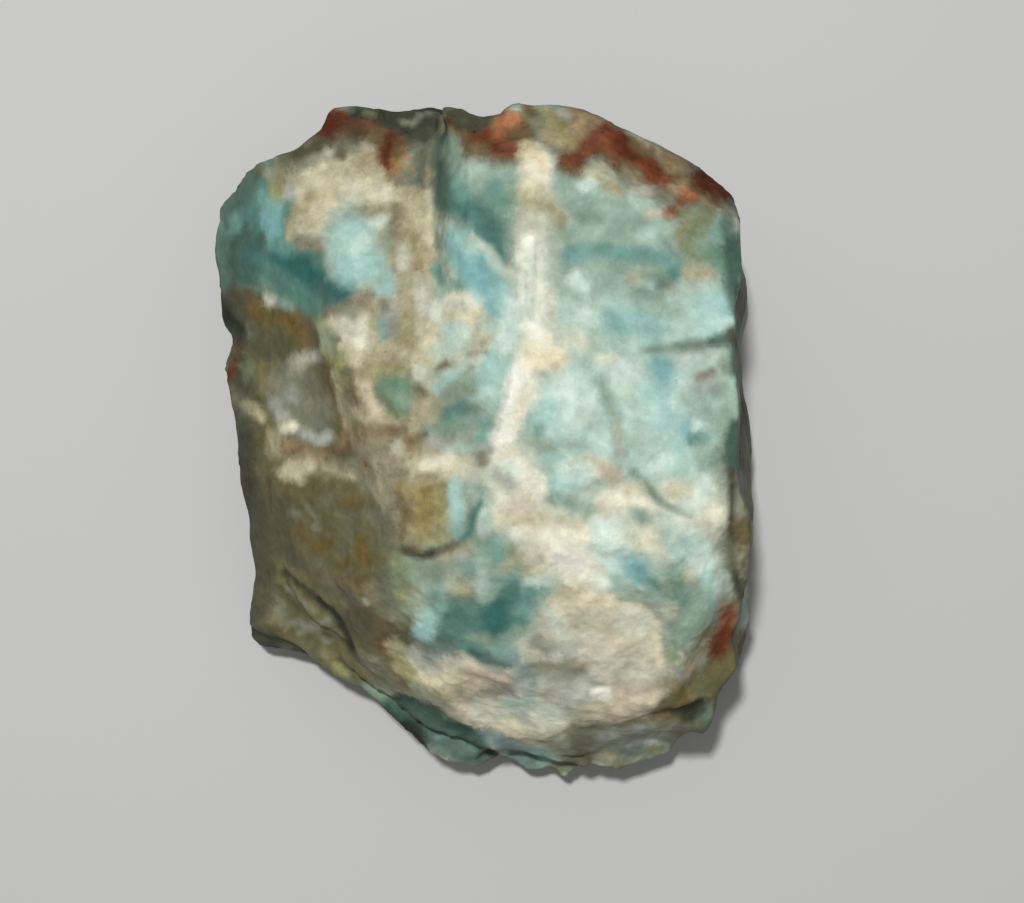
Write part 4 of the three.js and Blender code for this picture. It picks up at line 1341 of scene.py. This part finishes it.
def ramp(value, low, high, start=0.0, end=1.0):
    """A soft step of a value from start to end."""
    made = node("MapRange", interpolation_type="SMOOTHSTEP", Value=value)
    made.inputs["From Min"].default_value = low
    made.inputs["From Max"].default_value = high
    made.inputs["To Min"].default_value = start
    made.inputs["To Max"].default_value = end
    return made.outputs["Result"]


def sum_of(first, second, how="ADD"):
    """Two values added, or brought together in the way that is named."""
    return node("Math", operation=how, i0=first, i1=second).outputs["Value"]


def spread(size, detail, roughness=0.6):
    """A soft random value through the rock, in lumps of that size in mm."""
    made = node("TexNoise", Vector=spot, Scale=1 / (size * MM), Detail=detail, Roughness=roughness)
    return made.outputs["Fac"]


spot = node("TexCoord").outputs["Object"]
main = node("Attribute", attribute_name="pigment")
other = node("Attribute", attribute_name="fleck")
grainy = main.outputs["Alpha"]

# The two layings of the marks come through in grains, so that the minerals' edges are broken.
pick = ramp(spread(0.45, 3), 0.44, 0.56)
mixed = node("Mix", data_type="RGBA", i0=pick, i6=main.outputs["Color"], i7=other.outputs["Color"]).outputs[2]

# It is mottled in clouds, grains and crystals, and its pits are painted dark as shade, the more so where it
# is gritty.
cloud = spread(1.6, 4, 0.65)
fine = spread(0.28, 3, 0.7)
crystals = node("TexVoronoi", Vector=spot, Scale=1 / (0.55 * MM))
cell = node("SeparateColor", i0=crystals.outputs["Color"]).outputs["Red"]
clouded = ramp(cloud, 0.3, 0.7, 0.86, 1.12)
light = sum_of(clouded, ramp(fine, 0.25, 0.75, 0.9, 1.08), "MULTIPLY")
light = sum_of(light, ramp(cell, 0.0, 1.0, 0.93, 1.06), "MULTIPLY")
pits = ramp(spread(0.6, 2, 0.5), 0.66, 0.74)
pits = sum_of(pits, grainy, "MULTIPLY")
# Painted shade: the pits are darkened where the tooth below dents them.
light = sum_of(light, ramp(pits, 0.0, 1.0, 1.0, 0.55), "MULTIPLY")
mottling = ramp(grainy, 0.2, 0.8, 0.55, 1.15)
light = node("Math", operation="MULTIPLY_ADD", i0=sum_of(light, -1.0), i1=mottling, i2=1.0).outputs["Value"]
shaded = node("VectorMath", operation="SCALE", i0=mixed, Scale=light).outputs["Vector"]
tree.links.new(shaded, surface.inputs["Base Color"])

# It shines softly where it is smooth, and is dull where it is gritty.
roughness = sum_of(ramp(grainy, 0.2, 0.9, 0.42, 0.8), ramp(fine, 0.3, 0.7, -0.08, 0.08))
tree.links.new(roughness, surface.inputs["Roughness"])

# The same grains and pits are felt as a fine tooth.
tooth = sum_of(fine, sum_of(cloud, 0.6, "MULTIPLY"))
tooth = sum_of(tooth, sum_of(pits, 0.8, "MULTIPLY"), "SUBTRACT")
bump = node("Bump", Strength=0.3, Distance=0.1 * MM, Height=tooth)
tree.links.new(bump.outputs["Normal"], surface.inputs["Normal"])

stone.data.materials.append(rock)
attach(stone, "root")
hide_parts("larimar")

# ---------------------------------------------------------------------------------------------------
# The studio: a pale paper floor, one soft lamp high above the stone's back left and an even light
# all round.
# ---------------------------------------------------------------------------------------------------
bpy.ops.mesh.primitive_plane_add(size=3, location=(0, 0, 0))
floor = bpy.context.object
floor.name = "floor"
paper = bpy.data.materials.new("paper")
paper.use_nodes = True
paper.node_tree.nodes["Principled BSDF"].inputs["Base Color"].default_value = (0.6, 0.6, 0.585, 1)
paper.node_tree.nodes["Principled BSDF"].inputs["Roughness"].default_value = 0.9
floor.data.materials.append(paper)

bpy.ops.object.light_add(type="AREA", location=LAMP)
lamp = bpy.context.object
lamp.name = "lamp"
lamp.data.energy = BRIGHTNESS * (1 - SKY_SHARE) * (math.pi * (LAMP.z - TOP)) ** 2
lamp.data.size = 20 * MM
lamp.rotation_euler = (Vector((0, 0, 0.01)) - lamp.location).to_track_quat("-Z", "Y").to_euler()

sky = bpy.data.worlds.new("sky")
bpy.context.scene.world = sky
sky.use_nodes = True
sky.node_tree.nodes["Background"].inputs["Color"].default_value = (1, 1, 1, 1)
sky.node_tree.nodes["Background"].inputs["Strength"].default_value = BRIGHTNESS * SKY_SHARE
bpy.context.scene.view_settings.view_transform = "Standard"
